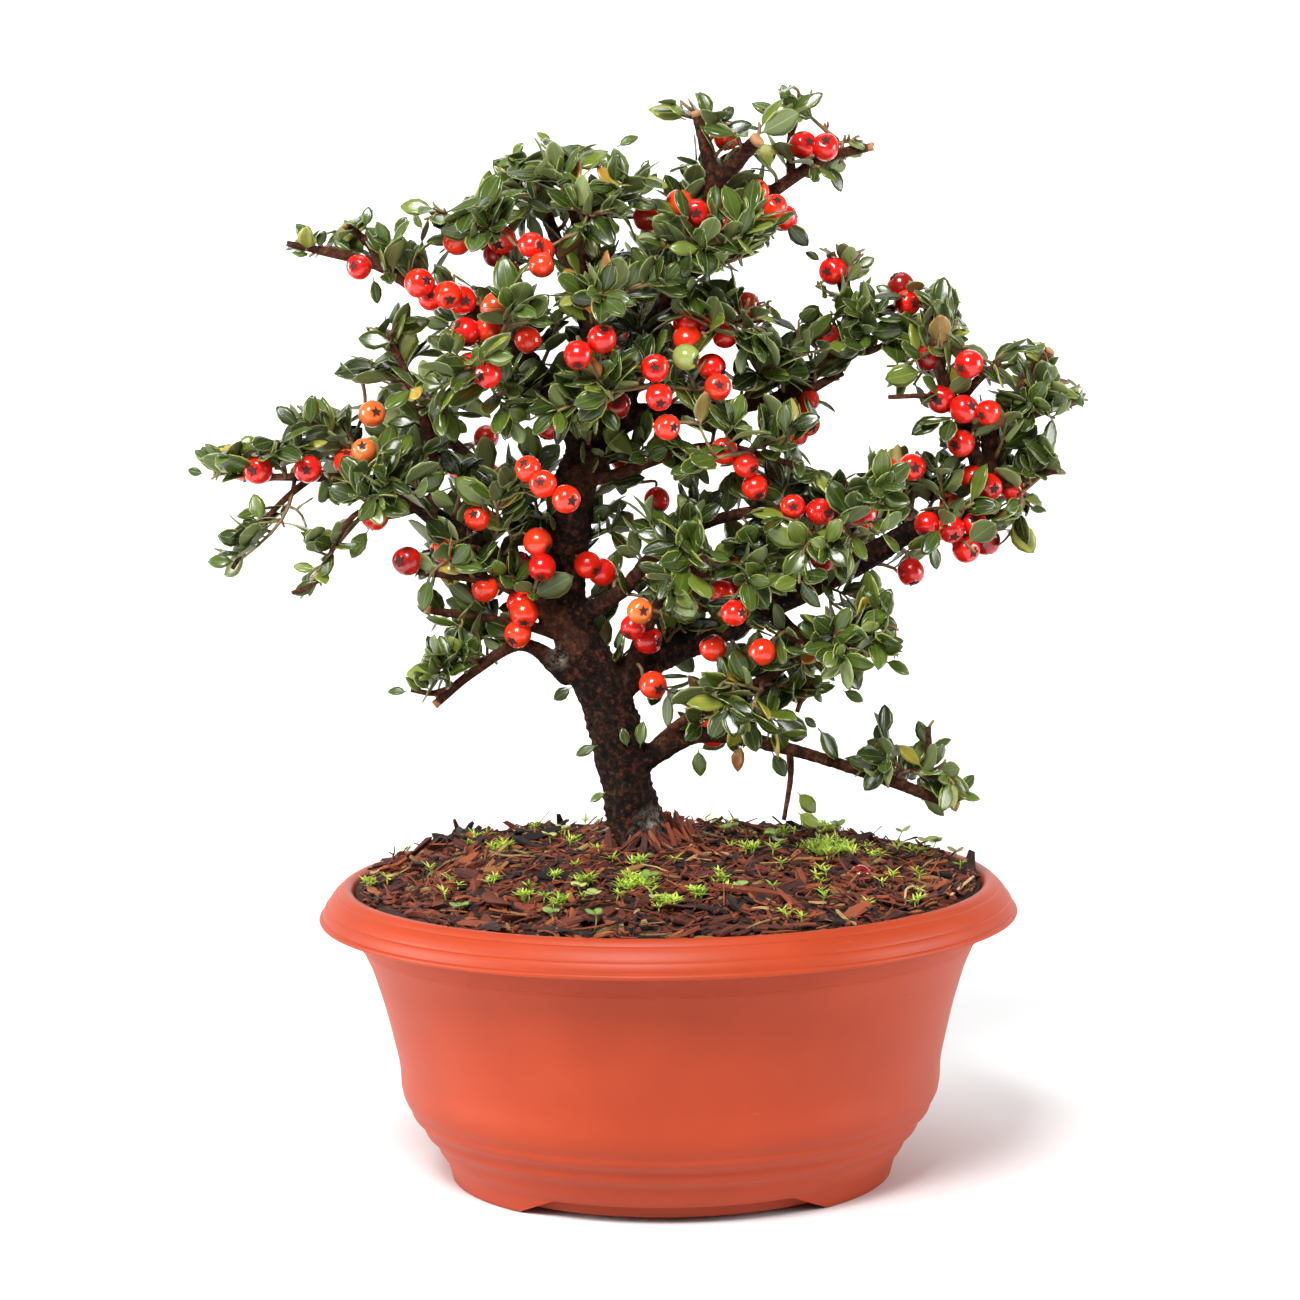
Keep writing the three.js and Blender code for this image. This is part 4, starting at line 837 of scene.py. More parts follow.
PLASTIC = moulded_polypropylene()
BARK = old_bark()
TWIG = young_twig()
# The third colour of each side is its pale edge, a painted highlight.
LEAF_TOP = leaf_surface("leaf_upper_side", [
    (0.0, "#182109"), (0.25, "#2d3c11"), (0.5, "#46581b"), (0.75, "#717d2c"), (0.9, "#a89638"),
    (1.0, "#a65a28"),
], "#abb05c", "#6a7a33", 0.27, 0.25)
LEAF_UNDER = leaf_surface("leaf_underside", [
    (0.0, "#4b5a31"), (0.5, "#6d7a47"), (0.85, "#8f9858"), (1.0, "#966632"),
], "#a9ae75", "#8f9765", 0.5, 0.0)
SKIN = berry_skin()
SEPALS = plain_organic("dried_sepals", [(0.0, "#1d0a07"), (0.6, "#4a1a12"), (1.0, "#8a4428")], 0.6, 0.8)
CUT_WOOD = plain_organic("cut_wood", [(0.0, "#7a5334"), (0.6, "#a87a50"), (1.0, "#c9a173")], 0.7, 0.8)
CHIP = plain_organic("shredded_bark", [
    (0.0, "#0f0907"), (0.2, "#2b120a"), (0.45, "#642812"), (0.65, "#8c3f20"), (0.8, "#955c2b"),
    (0.9, "#5f592e"), (1.0, "#b8905f"),
], 1.0, 0.8, strength=0.6, depth=0.5, stretch=(0.35, 3.0, 1.0), uv=True)
COMPOST = plain_organic("compost", [
    (0.0, "#120b07"), (0.4, "#36200f"), (0.7, "#693b22"), (1.0, "#8a5230"),
], 1.6, 0.95, strength=0.9, depth=1.2)
MOSS = plain_organic("moss", [(0.0, "#708f20"), (0.5, "#abc93c"), (1.0, "#d6ea62")], 1.5, 0.6)
SEEDLING = plain_organic("seedling_leaf", [(0.0, "#5d7a35"), (0.5, "#87a04c"), (1.0, "#b5b56a")], 1.5, 0.5)


# Bowl

def ridge(low, high, bulge):
    """A soft convex ridge of the wall from one corner to the next."""
    low, high = np.array(low, float), np.array(high, float)
    out = unit((high[1] - low[1], low[0] - high[0]))
    return [tuple(low + (high - low) * t + out * bulge * math.sin(math.pi * t) ** 0.8)
            for t in np.linspace(0, 0.92, 7)]


def bowl_profile():
    """The wall from the underside round the rolled rim to the inside, as radius and height."""
    outside = [(0, 1.3), (30, 1.3), (59.2, 1.3), (60.0, 1.7), (60.2, 2.4), (60.2, 4.9), (60.5, 5.4),
               (61.2, FOOT_HEIGHT), (64.5, FOOT_HEIGHT), (65.2, 5.8)]
    ridges = (ridge((65.4, 6.2), (68.2, 11.5), 0.35) + ridge((69.4, 12.5), (71.5, 16.6), 0.75)
              + ridge((73.0, 17.7), (75.0, 21.8), 0.75) + [(76.1, 22.6), (77.0, 24.6), (77.6, 27.5)])
    wall = smooth_path([(77.6, 27.5), (78.0, 34), (79.7, 42), (81.6, 50), (83.5, 56.5), (85.3, 62),
                        (87.6, 67.2)], 4)
    line = [(88.2, 68.3), (88.25, 68.7), (88.9, 69.0), (89.3, 70.4), (90.2, 73.5), (91.0, 75.4)]
    underside = [(91.3, 77.0), (92.0, 78.6), (93.4, 79.4), (95.2, 78.9), (97.0, 77.4), (98.2, 76.0)]
    bead = [(98.7, 75.5), (99.3, 75.35), (99.8, 75.6), (RIM_RADIUS, 76.1), (99.85, 76.6), (99.4, 76.9),
            (99.05, 76.95), (98.95, 77.15)]
    low_face = [(98.95, 77.6), (98.6, 78.6), (98.2, 79.5), (97.95, 79.75), (97.6, 79.85), (97.5, 80.15)]
    high_face = smooth_path([(97.3, 80.6), (96.4, 82.0), (95.3, 83.2)], 4)
    crest = [(95.0, 83.4), (94.6, 83.45), (94.45, 83.75), (93.9, 84.5), (93.2, 84.95), (92.4, RIM_HEIGHT),
             (91.5, 85.1), (90.8, 84.7), (90.3, 84.0), (89.9, 82.6)]
    inside = [(88.6, 78), (81.6, 54), (73.8, 30), (66, 13), (57.5, 8), (57.5, 3.8), (0, 3.8)]
    points = outside + ridges + [tuple(p) for p in wall] + line + underside + bead + low_face
    return points + [tuple(p) for p in high_face] + crest + inside


def level_ring(radius, height):
    """Points on a level ring round the bowl's axis, from its front."""
    turns = [TURN * j / ROUND_STEPS for j in range(ROUND_STEPS)]
    return [(radius * math.sin(a), -radius * math.cos(a), height) for a in turns]


def turned_faces(rings, inside_out=False):
    """Faces of a turned shape, whose two points on the axis come first and then its rings."""
    faces = []
    last = 2 + (rings - 1) * ROUND_STEPS
    for j in range(ROUND_STEPS):
        n = (j + 1) % ROUND_STEPS
        faces += [(0, 2 + n, 2 + j), (1, last + j, last + n)]
        for k in range(rings - 1):
            a = 2 + k * ROUND_STEPS
            faces.append((a + j, a + n, a + n + ROUND_STEPS, a + j + ROUND_STEPS))
    return [(face[0], *face[:0:-1]) for face in faces] if inside_out else faces


def turned(profile):
    """A profile turned round the bowl's axis; its first and last points lie on the axis."""
    rings = [p for p in profile if p[0] > 0]
    points = [(0, 0, profile[0][1]), (0, 0, profile[-1][1])]
    for radius, height in rings:
        points += level_ring(radius, height)
    return points, turned_faces(len(rings))


def solid_object(name, points, faces):
    """A helper object in millimetres, which is removed once its shape has been used."""
    mesh = bpy.data.meshes.new(name)
    mesh.from_pydata([tuple(p) for p in points], [], faces)
    made = bpy.data.objects.new(name, mesh)
    bpy.context.scene.collection.objects.link(made)
    return made


def cut_away(body, tool):
    """Takes one object's shape away from another."""
    change = body.modifiers.new("cut", "BOOLEAN")
    change.operation, change.object, change.solver = "DIFFERENCE", tool, "EXACT"


def evaluated(made):
    """The mesh of an object after its modifiers."""
    graph = bpy.context.evaluated_depsgraph_get()
    return bpy.data.meshes.new_from_object(made.evaluated_get(graph))


def points_and_faces(mesh):
    """The points of a mesh and its faces."""
    points = np.empty(len(mesh.vertices) * 3)
    mesh.vertices.foreach_get("co", points)
    return points.reshape(-1, 3), [tuple(p.vertices) for p in mesh.polygons]


def foot_ring():
    """The ring under the bowl that the two feet are cut from."""
    outline = [(FOOT_INNER_RADIUS, 0.4), (61.2, 0), (63.0, 0), (63.4, 0.3), (63.8, 2), (64.9, FOOT_HEIGHT),
               (65.6, 6.6), (FOOT_INNER_RADIUS, 6.6)]
    points = [point for radius, height in outline for point in level_ring(radius, height)]
    faces = []
    for k in range(len(outline)):
        for j in range(ROUND_STEPS):
            a, b = k * ROUND_STEPS, (k + 1) % len(outline) * ROUND_STEPS
            n = (j + 1) % ROUND_STEPS
            faces.append((a + j, a + n, b + n, b + j))
    return solid_object("bowl_feet", points, faces)


def notch_block():
    """A block from front to back, which takes the ring away between the feet."""
    floor, top = NOTCH_HALF_WIDTH_FLOOR, NOTCH_HALF_WIDTH_TOP
    outline = [(-floor - 2, -1), (floor + 2, -1), (floor, 0), (top + 0.8, FOOT_HEIGHT - 0.4),
               (top, FOOT_HEIGHT), (-top, FOOT_HEIGHT), (-top - 0.8, FOOT_HEIGHT - 0.4), (-floor, 0)]
    n = len(outline)
    points = [(x, y, z) for y in (-RIM_RADIUS, RIM_RADIUS) for x, z in outline]
    faces = [tuple(range(n)), tuple(range(2 * n - 1, n - 1, -1))]
    faces += [(k, k + n, (k + 1) % n + n, (k + 1) % n) for k in range(n)]
    return solid_object("notch", points, faces)


def drain_drill():
    """Rods where the drain holes go."""
    rods = Pile()
    for i in range(DRAIN_HOLES):
        a = TURN * i / DRAIN_HOLES
        x, y = math.cos(a) * DRAIN_CIRCLE_RADIUS, math.sin(a) * DRAIN_CIRCLE_RADIUS
        points, faces, _ = tube([(x, y, -4), (x, y, 8)], [DRAIN_HOLE_RADIUS] * 2, 32)
        rods.add(points, faces)
    return solid_object("drain_holes", np.concatenate(rods.points), rods.faces)


def make_bowl():
    """The bowl with its drain holes, and the two feet, which are the ring less its front and back."""
    body, drill = solid_object("bowl_body", *turned(bowl_profile())), drain_drill()
    feet, notch = foot_ring(), notch_block()
    cut_away(body, drill)
    cut_away(feet, notch)
    pile = Pile()
    pile.add(*points_and_faces(evaluated(body)))
    pile.add(*points_and_faces(evaluated(feet)))
    for scrap in (body, feet, notch, drill):
        bpy.data.objects.remove(scrap)
    bowl = pile.piece("training_bowl", [PLASTIC], "plastic", ["bowl"])
    bowl.data.set_sharp_from_angle(angle=math.radians(SHARP_EDGE_DEGREES))


# Trunk, boughs and the map of where wood is

wood_lines = {"trunk": smooth_path(TRUNK, 8)}
wood_lines.update({name: smooth_path(points, 8) for name, points in BOUGHS.items()})
line_points = np.concatenate(list(wood_lines.values()))
line_ways = np.concatenate([np.gradient(line[:, :3], axis=0) for line in wood_lines.values()])
wood_tree = kdtree.KDTree(len(line_points))
for index, point in enumerate(line_points):
    wood_tree.insert(point[:3], index)
wood_tree.balance()


def nearest_wood(point):
    """The nearest point on the middle of the wood, its radius and the way the wood runs there."""
    place, index, _ = wood_tree.find(point)
    return np.array(place), line_points[index][3], unit(line_ways[index])


def bark_relief(point, radius, way):
    """How far bark stands out: fissures along the wood, ring-like bumps across it and fine scales."""
    along = float(np.dot(point, way))
    flat = point - way * along
    fissure = noise.noise(Vector(flat * 0.5 + way * along * 0.13))
    fissure += 0.6 * noise.noise(Vector(flat * 1.1 + way * along * 0.4))
    bumps = noise.noise(Vector(flat * 0.16 + way * along * 0.6))
    bumps = max(0.0, bumps - 0.05) * 2.2
    fine = noise.noise(Vector(point * 1.0)) + 0.5 * noise.noise(Vector(point * 1.9))
    lumps = noise.noise(Vector(point * 0.12))
    size = min(1.0, radius / 6.5)
    return size * (0.5 * fissure + 0.5 * bumps + 0.3 * fine) + 0.8 * size * size * lumps


def stout_end(line):
    """The index at which the stout part of a bough ends, or 0 where it has none to speak of."""
    stout = np.nonzero(line[:, 3] >= STOUT_RADIUS)[0]
    return stout[-1] if len(stout) and stout[-1] > 4 else 0


def melted_wood():
    """The trunk, flared at its foot, and the stout boughs, run together into one skin."""
    stout = Pile()
    for name, line in wood_lines.items():
        cut = line[:stout_end(line) + 1].copy()
        if len(cut) == 1:
            continue
        if name == "trunk":
            cut[:, 3] += 1.4 * np.clip((101 - cut[:, 2]) / 12, 0, 1) ** 2
        stout.add(*tube(cut[:, :3], cut[:, 3], 14))
    core = solid_object("wood_core", np.concatenate(stout.points), stout.faces)
    melt = core.modifiers.new("melt", "REMESH")
    melt.mode, melt.voxel_size = "VOXEL", WOOD_VOXEL
    mesh = evaluated(core)
    bpy.data.objects.remove(core)
    return mesh


def carved_skin():
    """The melted wood, smoothed and with bark raised on it: points, faces and girths from 0 to 1."""
    work = bmesh.new()
    work.from_mesh(melted_wood())
    for _ in range(4):
        bmesh.ops.smooth_vert(work, verts=work.verts, factor=0.5,
                              use_axis_x=True, use_axis_y=True, use_axis_z=True)
    work.normal_update()
    points, girths = [], []
    for vertex in work.verts:
        point = np.array(vertex.co)
        _, radius, way = nearest_wood(point)
        points.append(point + np.array(vertex.normal) * bark_relief(point, radius, way))
        girths.append(min(1.0, max(0.0, (radius - 0.9) / 2.2)))
    faces = [tuple(v.index for v in face.verts) for face in work.faces]
    work.free()
    return points, faces, girths


def uneven_tube(pile, line, tone, swell, grain):
    """Adds a thin piece of wood whose surface isn't quite even."""
    points, faces, uvs = tube(line[:, :3], line[:, 3], 8)
    points = [point + swell * noise.noise(Vector(point * grain)) for point in points]
    pile.add(points, faces, uvs, tone=tone)


def cut_end(pile, line):
    """Adds the pale end of a pruned bough, with a low rim."""
    end, radius = line[-1, :3], line[-1, 3]
    way = unit(end - line[-2, :3])
    rim = [end - way * 1.2, end + way * 0.25, end + way * 0.45, end + way * 0.5]
    points, faces, uvs = tube(rim, [radius * share for share in (1.0, 1.06, 0.96, 0.4)], 12)
    pile.add(points, faces, uvs, tone=0.6, marks=1)


def make_wood():
    """The tree's wood in one piece: carved skin, thin ends, bare twigs and cut ends."""
    pile = Pile()
    points, faces, girths = carved_skin()
    pile.add(points, faces, tone=girths)
    for line in wood_lines.values():
        last = stout_end(line)
        rest = line[max(last - 6, 0):]
        if last < len(line) - 1 and len(rest) > 2:
            uneven_tube(pile, rest, tone=0.25, swell=0.16, grain=0.7)
    for twig in THIN_TWIGS:
        line = smooth_path([(*at_depth(point[:2], point[2]), point[3]) for point in twig], 6)
        uneven_tube(pile, line, tone=0.1, swell=0.12, grain=0.8)
    for name in CUT_ENDS:
        cut_end(pile, wood_lines[name])
    pile.piece("tree_wood", [BARK, CUT_WOOD], "bark", ["trunk_and_boughs"])


# Leaves

LEAF_ROWS = np.array([-0.16, 0.0, 0.16, 0.42, 0.68, 0.88, 1.0])
LEAF_WIDTHS = np.array([0.06, 0.09, 0.64, 1.0, 0.88, 0.48, 0.0])
LEAF_ACROSS = np.array([-1.0, -0.5, 0.0, 0.5, 1.0])


def leaf_pattern():
    """Row, place across, side and faces of a leaf's thin closed skin. Along its edges and at its tip
    both sides share their points, and a mark of 1 is the underside."""
    rows, across, sides, index = [], [], [], {}
    tip = len(LEAF_ROWS) - 1
    for r in range(tip + 1):
        for c, s in enumerate(LEAF_ACROSS):
            shared = abs(s) == 1 or r == tip
            for side in (1, -1):
                if r == tip and c:
                    index[(r, c, side)] = index[(r, 0, 1)]
                elif shared and side == -1:
                    index[(r, c, side)] = index[(r, c, 1)]
                else:
                    index[(r, c, side)] = len(rows)
                    rows.append(r)
                    across.append(0.0 if r == tip else s)
                    sides.append(0 if shared else side)
    faces, marks = [], []
    for r in range(tip):
        for c in range(len(LEAF_ACROSS) - 1):
            for side, mark in ((1, 0), (-1, 1)):
                corners = [(r, c), (r, c + 1), (r + 1, c + 1), (r + 1, c)]
                face = tuple(dict.fromkeys(index[(*corner, side)] for corner in corners))
                faces.append(face[::side])
                marks.append(mark)
    base = [index[(0, c, 1)] for c in range(5)] + [index[(0, c, -1)] for c in (3, 2, 1)]
    faces.append(tuple(base[::-1]))
    marks.append(1)
    return np.array(rows), np.array(across), np.array(sides), faces, marks


PATTERN_ROWS, PATTERN_ACROSS, PATTERN_SIDES, PATTERN_FACES, PATTERN_MARKS = leaf_pattern()
LEAF_UVS = np.stack([PATTERN_ACROSS * 0.5 + 0.5, np.clip(LEAF_ROWS[PATTERN_ROWS], 0, 1)], axis=1)
CROWN_CENTRE = np.array([-5.0, 0.0, 205.0])
UP = np.array([0.0, 0.0, 1.0])


class Leaf:
    """One leaf: where its stalk starts, which way it points and faces, its size and its form."""

    def __init__(self, base, way, face, length, rng):
        self.base, self.way = np.array(base, float), unit(way)
        self.face = unit(face - self.way * np.dot(face, self.way))
        self.length = length
        self.half = length * rng.uniform(0.29, 0.36)
        self.fold = rng.uniform(0.05, 0.45)
        self.curl = rng.uniform(0.0, 0.7)
        self.twist = rng.uniform(-0.35, 0.35)
        self.wave = rng.uniform(0, TURN)
        pick = rng.random()
        self.tone = rng.uniform(0.1, 0.55) if pick < 0.84 else rng.uniform(0.55, 0.8)
        if pick > 0.985:
            self.tone = rng.uniform(0.85, 1.0)
        # Leaves further out from the crown's middle are made lighter and those deep inside darker: painted
        # light on the outside of the crown and painted shade within it.
        out = np.linalg.norm((self.base - CROWN_CENTRE) / (120, 60, 95))
        self.tone = min(1.0, max(0.02, self.tone + 0.2 * (out - 0.7)))

    def middle(self):
        """The middle of the blade."""
        return self.base + self.way * self.length * 0.6

    def points(self):
        """The points of the leaf, folded, curled and twisted, in the order of the pattern."""
        t = LEAF_ROWS[PATTERN_ROWS]
        width = LEAF_WIDTHS[PATTERN_ROWS] * self.half
        s = PATTERN_ACROSS
        blade = np.clip(t, 0, 1)
        along = (t - LEAF_ROWS[0]) * self.length
        sink = -self.curl * self.length * 0.35 * blade ** 2
        lift = np.abs(s) * width * math.sin(self.fold) - 0.16 * width * s ** 4
        lift += 0.05 * width * np.sin(5 * blade + self.wave) * s
        thickness = LEAF_THICKNESS * np.where(t < 0.05, 1.5, 1.0) * (1 - 0.3 * s ** 2) / 2
        height = sink + lift + PATTERN_SIDES * thickness - np.where(s == 0, 0.12, 0) * (PATTERN_SIDES > 0)
        side = s * width * math.cos(self.fold)
        turn = self.twist * blade
        across = side * np.cos(turn) - height * np.sin(turn)
        up = side * np.sin(turn) + height * np.cos(turn)
        wide = np.cross(self.face, self.way)
        return self.base + np.outer(along, self.way) + np.outer(across, -wide) + np.outer(up, self.face)


class Crowd:
    """Places already taken, in cells of a grid, so that leaves keep apart."""

    def __init__(self, cell):
        self.cell, self.cells = cell, {}

    def key(self, point):
        """The cell that a point lies in."""
        return tuple(int(math.floor(v / self.cell)) for v in point)

    def add(self, point):
        """Takes a place."""
        self.cells.setdefault(self.key(point), []).append(point)

    def nearest(self, point):
        """How far off the nearest place lies, if it is in this cell or one beside it."""
        x, y, z = self.key(point)
        found = [np.linalg.norm(point - other) for i in (-1, 0, 1) for j in (-1, 0, 1) for k in (-1, 0, 1)
                 for other in self.cells.get((x + i, y + j, z + k), ())]
        return min(found, default=9.9)


def hidden_berries():
    """Berries of the far side: spots beside the thinner wood behind the trunk."""
    rng = random.Random(411)
    found = []
    while len(found) < HIDDEN_BERRIES:
        point = line_points[rng.randrange(len(line_points))]
        if point[3] > FAR_SIDE_RADIUS or point[1] < FAR_SIDE_DEPTH or point[2] < FAR_SIDE_HEIGHT:
            continue
        away = unit((rng.gauss(0, 0.6), rng.uniform(0.3, 1.0), rng.gauss(-0.2, 0.6)))
        spot = point[:3] + away * (point[3] + rng.uniform(5.5, 8.5))
        if all(np.linalg.norm(spot - other) > 2 * BERRY_RADIUS for other in found):
            found.append(spot)
    return found


# Berries by bunch: place, ripeness (darkest partly painted shade) and, where its calyx is seen, lean
berry_spots = {name: [(at_depth(b[:2], b[2]), b[3], b[4:]) for b in bunch]
               for name, bunch in BERRIES.items()}
for spot in hidden_berries():
    owner = min(berry_spots, key=lambda name: np.linalg.norm(berry_spots[name][0][0] - spot))
    berry_spots[owner].append((spot, 0.9, ()))
berry_list = np.array([spot for bunch in berry_spots.values() for spot, _, _ in bunch])
calyx_seen = np.array([len(lean) > 0 for bunch in berry_spots.values() for _, _, lean in bunch])
leaf_crowd = Crowd(4.0)
berry_sight = np.array(CAMERA_PLACE) - berry_list
berry_sight /= np.linalg.norm(berry_sight, axis=1)[:, None]


def hides_berry(point, rng):
    """Whether a point stands before a berry in the photograph. A berry whose calyx is seen there
    always counts, another one in three cases of ten."""
    offset = point - berry_list
    ahead = np.sum(offset * berry_sight, axis=1)
    aside = np.linalg.norm(offset - ahead[:, None] * berry_sight, axis=1)
    hidden = (ahead > 0) & (ahead < HIDING_REACH) & (aside < BERRY_RADIUS)
    return np.any(hidden & calyx_seen) or np.any(hidden) and rng.random() < HIDING_SHARE


def leaf_fits(leaf, rng):
    """Whether a leaf shows inside the crown, is clear of other leaves, wood, berries and soil, and
    leaves the berries in sight."""
    middle = leaf.middle()
    tip = leaf.base + leaf.way * leaf.length * 1.1
    wide = np.cross(leaf.face, leaf.way) * leaf.half
    if not all(in_crown(point) for point in (tip, middle + wide * 0.8, middle - wide * 0.8)):
        return False
    if leaf_crowd.nearest(middle) < LEAF_APART:
        return False
    for point in (middle, tip):
        place, radius, _ = nearest_wood(point)
        if np.linalg.norm(point - place) < radius + 1.0:
            return False
        if np.min(np.linalg.norm(berry_list - point, axis=1)) < BERRY_RADIUS + 1.2:
            return False
        if hides_berry(point, rng):
            return False
        if point[2] < soil_height(0) and math.hypot(point[0], point[1]) < LEAVES_OFF_SOIL:
            return False
    return True


def add_leaf(pile, leaf):
    """Adds a leaf and takes its place."""
    leaf_crowd.add(leaf.middle())
    pile.add(leaf.points(), PATTERN_FACES, LEAF_UVS, leaf.tone, PATTERN_MARKS)


def grow_leaf(pile, base, way, face, length, rng):
    """Adds a leaf if there is room for it, and says whether there was."""
    leaf = Leaf(base, way, face, length, rng)
    fits = leaf_fits(leaf, rng)
    if fits:
        add_leaf(pile, leaf)
    return fits


# Every point of the twigs with its radius, for the berries to hang on
twig_points = []


def square_to(way):
    """Two directions square to a twig: level, and upwards."""
    side = unit(np.cross(way, UP) + 0.001)
    return side, np.cross(side, way)


def leaves_along(leaves, path, rng, first, size):
    """Leaves on alternate sides of a twig, from a share of its length on."""
    steps = np.linalg.norm(np.diff(path, axis=0), axis=1)
    length = steps.sum()
    travelled = np.concatenate([[0], np.cumsum(steps)])
    at = length * first
    roll = rng.uniform(0, TURN)
    while at < length - 0.5:
        k = min(np.searchsorted(travelled, at), len(path) - 1)
        base = path[k - 1] + (path[k] - path[k - 1]) * (at - travelled[k - 1]) / max(steps[k - 1], 1e-6)
        way = unit(path[k] - path[k - 1])
        side, lift = square_to(way)
        for attempt in range(LEAF_TRIES):
            roll += math.pi * rng.uniform(0.75, 1.25)
            out = side * math.cos(roll) + lift * (0.25 + 0.7 * math.sin(roll))
            heading = unit(way * rng.uniform(0.3, 1.0) + out + UP * 0.2)
            outward = unit(base - CROWN_CENTRE)
            wander = np.array([rng.gauss(0, 0.45) for _ in range(3)])
            face = UP * 0.75 + outward * 0.6 - way * 0.25 + np.array([0, -0.25, 0]) + wander
            grown = size * rng.uniform(*LEAF_LENGTHS) * (1.05 - 0.28 * at / length) * (1 - 0.08 * attempt)
            if grow_leaf(leaves, base, heading, face, grown, rng):
                break
        at += LEAF_SPACING * rng.uniform(0.7, 1.3)


def end_rosette(leaves, path, rng, size):
    """A small rosette of leaves at the end of a twig."""
    end, way = path[-1], unit(path[-1] - path[-2])
    side, lift = square_to(way)
    spin = rng.uniform(0, TURN)
    for i in range(rng.randint(2, 4)):
        a = spin + ROSETTE_TURN * i + rng.uniform(-0.3, 0.3)
        out = side * math.cos(a) + lift * math.sin(a)
        heading = unit(way * rng.uniform(0.6, 1.6) + out + UP * 0.15)
        face = way * 0.7 - out * 0.5 + UP * 0.4 + unit(end - CROWN_CENTRE) * 0.3
        base = end - way * rng.uniform(0, 1.6)
        grow_leaf(leaves, base, heading, face, size * rng.uniform(*ROSETTE_LENGTHS), rng)


def leafy_twig(leaves, twigs, path, radii, rng, first=0.25, size=1.0):
    """A twig, greener towards its end, with leaves along it and at its end."""
    path = np.asarray(path, float)
    twig_points.extend((*point, radius) for point, radius in zip(path, radii))
    points, faces, uvs = tube(path, radii, 6)
    twigs.add(points, faces, uvs, tone=np.repeat(np.linspace(1.0, 0.55, len(path)), 6))
    leaves_along(leaves, path, rng, first, size)
    end_rosette(leaves, path, rng, size)


def bent_path(start, end, rng, steps=5, bow=0.12):
    """A gently bent way from one point to another."""
    start, end = np.array(start, float), np.array(end, float)
    reach = np.linalg.norm(end - start)
    sag = np.array([rng.gauss(0, bow), rng.gauss(0, bow), rng.uniform(-0.5, 1.2) * bow]) * reach
    shares = np.linspace(0, 1, steps)
    return np.array([start + (end - start) * t + sag * math.sin(math.pi * t) for t in shares])


def side_shoots(leaves, twigs, path, rng, count, reach):
    """Short leafy shoots on both sides of a twig, towards its end."""
    for _ in range(count):
        k = rng.randint(max(1, len(path) // 3), len(path) - 1)
        base, way = path[k], unit(path[k] - path[k - 1])
        aside = np.array([rng.gauss(0, 1) for _ in range(3)])
        aside = unit(aside - way * np.dot(aside, way))
        heading = unit(way * rng.uniform(0.3, 0.9) + aside + UP * 0.25 + unit(base - CROWN_CENTRE) * 0.3)
        end = drawn_in(base, base + heading * rng.uniform(*reach))
        leafy_twig(leaves, twigs, bent_path(base, end, rng, 4), np.linspace(0.5, 0.35, 4), rng, 0.35, 0.9)


def nearest_shoot(point):
    """The name of the shoot whose root lies nearest to a point."""
    return min(SHOOTS, key=lambda name: np.linalg.norm(np.array(SHOOTS[name][0]) - point))


def bough_spurs():
    """Short shoots that stand on the boughs and the upper trunk, by shoot: start, heading, length."""
    rng = random.Random(77)
    found = {name: [] for name in SHOOTS}
    for name, line in wood_lines.items():
        step = 0.0
        bare = BARE_TRUNK if name == "trunk" else BARE_BOUGH
        for k in range(3, len(line)):
            here, radius = line[k, :3], line[k, 3]
            step += np.linalg.norm(here - line[k - 1, :3])
            spacing, lengths = SPURS_ON_THIN if radius < THIN_BOUGH else SPURS_ON_STOUT
            if step < spacing or np.linalg.norm(here - line[0, :3]) < bare or here[2] < SPUR_LOWEST:
                continue
            step = rng.uniform(-1.2, 1.2)
            way = unit(here - line[k - 1, :3])
            aside = np.array([rng.gauss(0, 1) for _ in range(3)])
            aside = unit(aside - way * np.dot(aside, way) + UP * 0.45)
            heading = unit(aside + way * rng.uniform(0.1, 0.7))
            base = here + aside * radius * 0.6
            found[nearest_shoot(base)].append((base, heading, rng.uniform(*lengths)))
    return found


def seen_leaves():
    """The single leaves read from the photograph, by shoot: where each begins and ends."""
    found = {name: [] for name in SHOOTS}
    for across, down, tip_across, tip_down, depth in LEAVES_SEEN:
        base, tip = at_depth((across, down), depth), at_depth((tip_across, tip_down), depth)
        found[nearest_shoot(base)].append((base, tip))
    return found


def main_shoot(leaves, twigs, root, tips, rng):
    """A main stem from the wood, with a leafy twig and side shoots to each tip."""
    mean = np.mean(np.array(tips, float), axis=0)
    end = root + (mean - root) * MAIN_STEM_REACH
    stem = bent_path(root, end, rng, 5, 0.05)
    twigs.add(*tube(stem, np.linspace(1.0, 0.75, 5), 7), tone=1.0)
    for i, tip in enumerate(tips):
        fork = end + (root - end) * 0.62 * i / max(len(tips) - 1, 1)
        tip = np.array(tip, float)
        tip = drawn_in(fork, tip + unit(fork - tip) * TIP_SET_BACK)
        path = bent_path(fork, tip, rng, 7)
        leafy_twig(leaves, twigs, path, np.linspace(0.75, 0.4, 7), rng, 0.3)
        side_shoots(leaves, twigs, path, rng, 4, (5, 11))


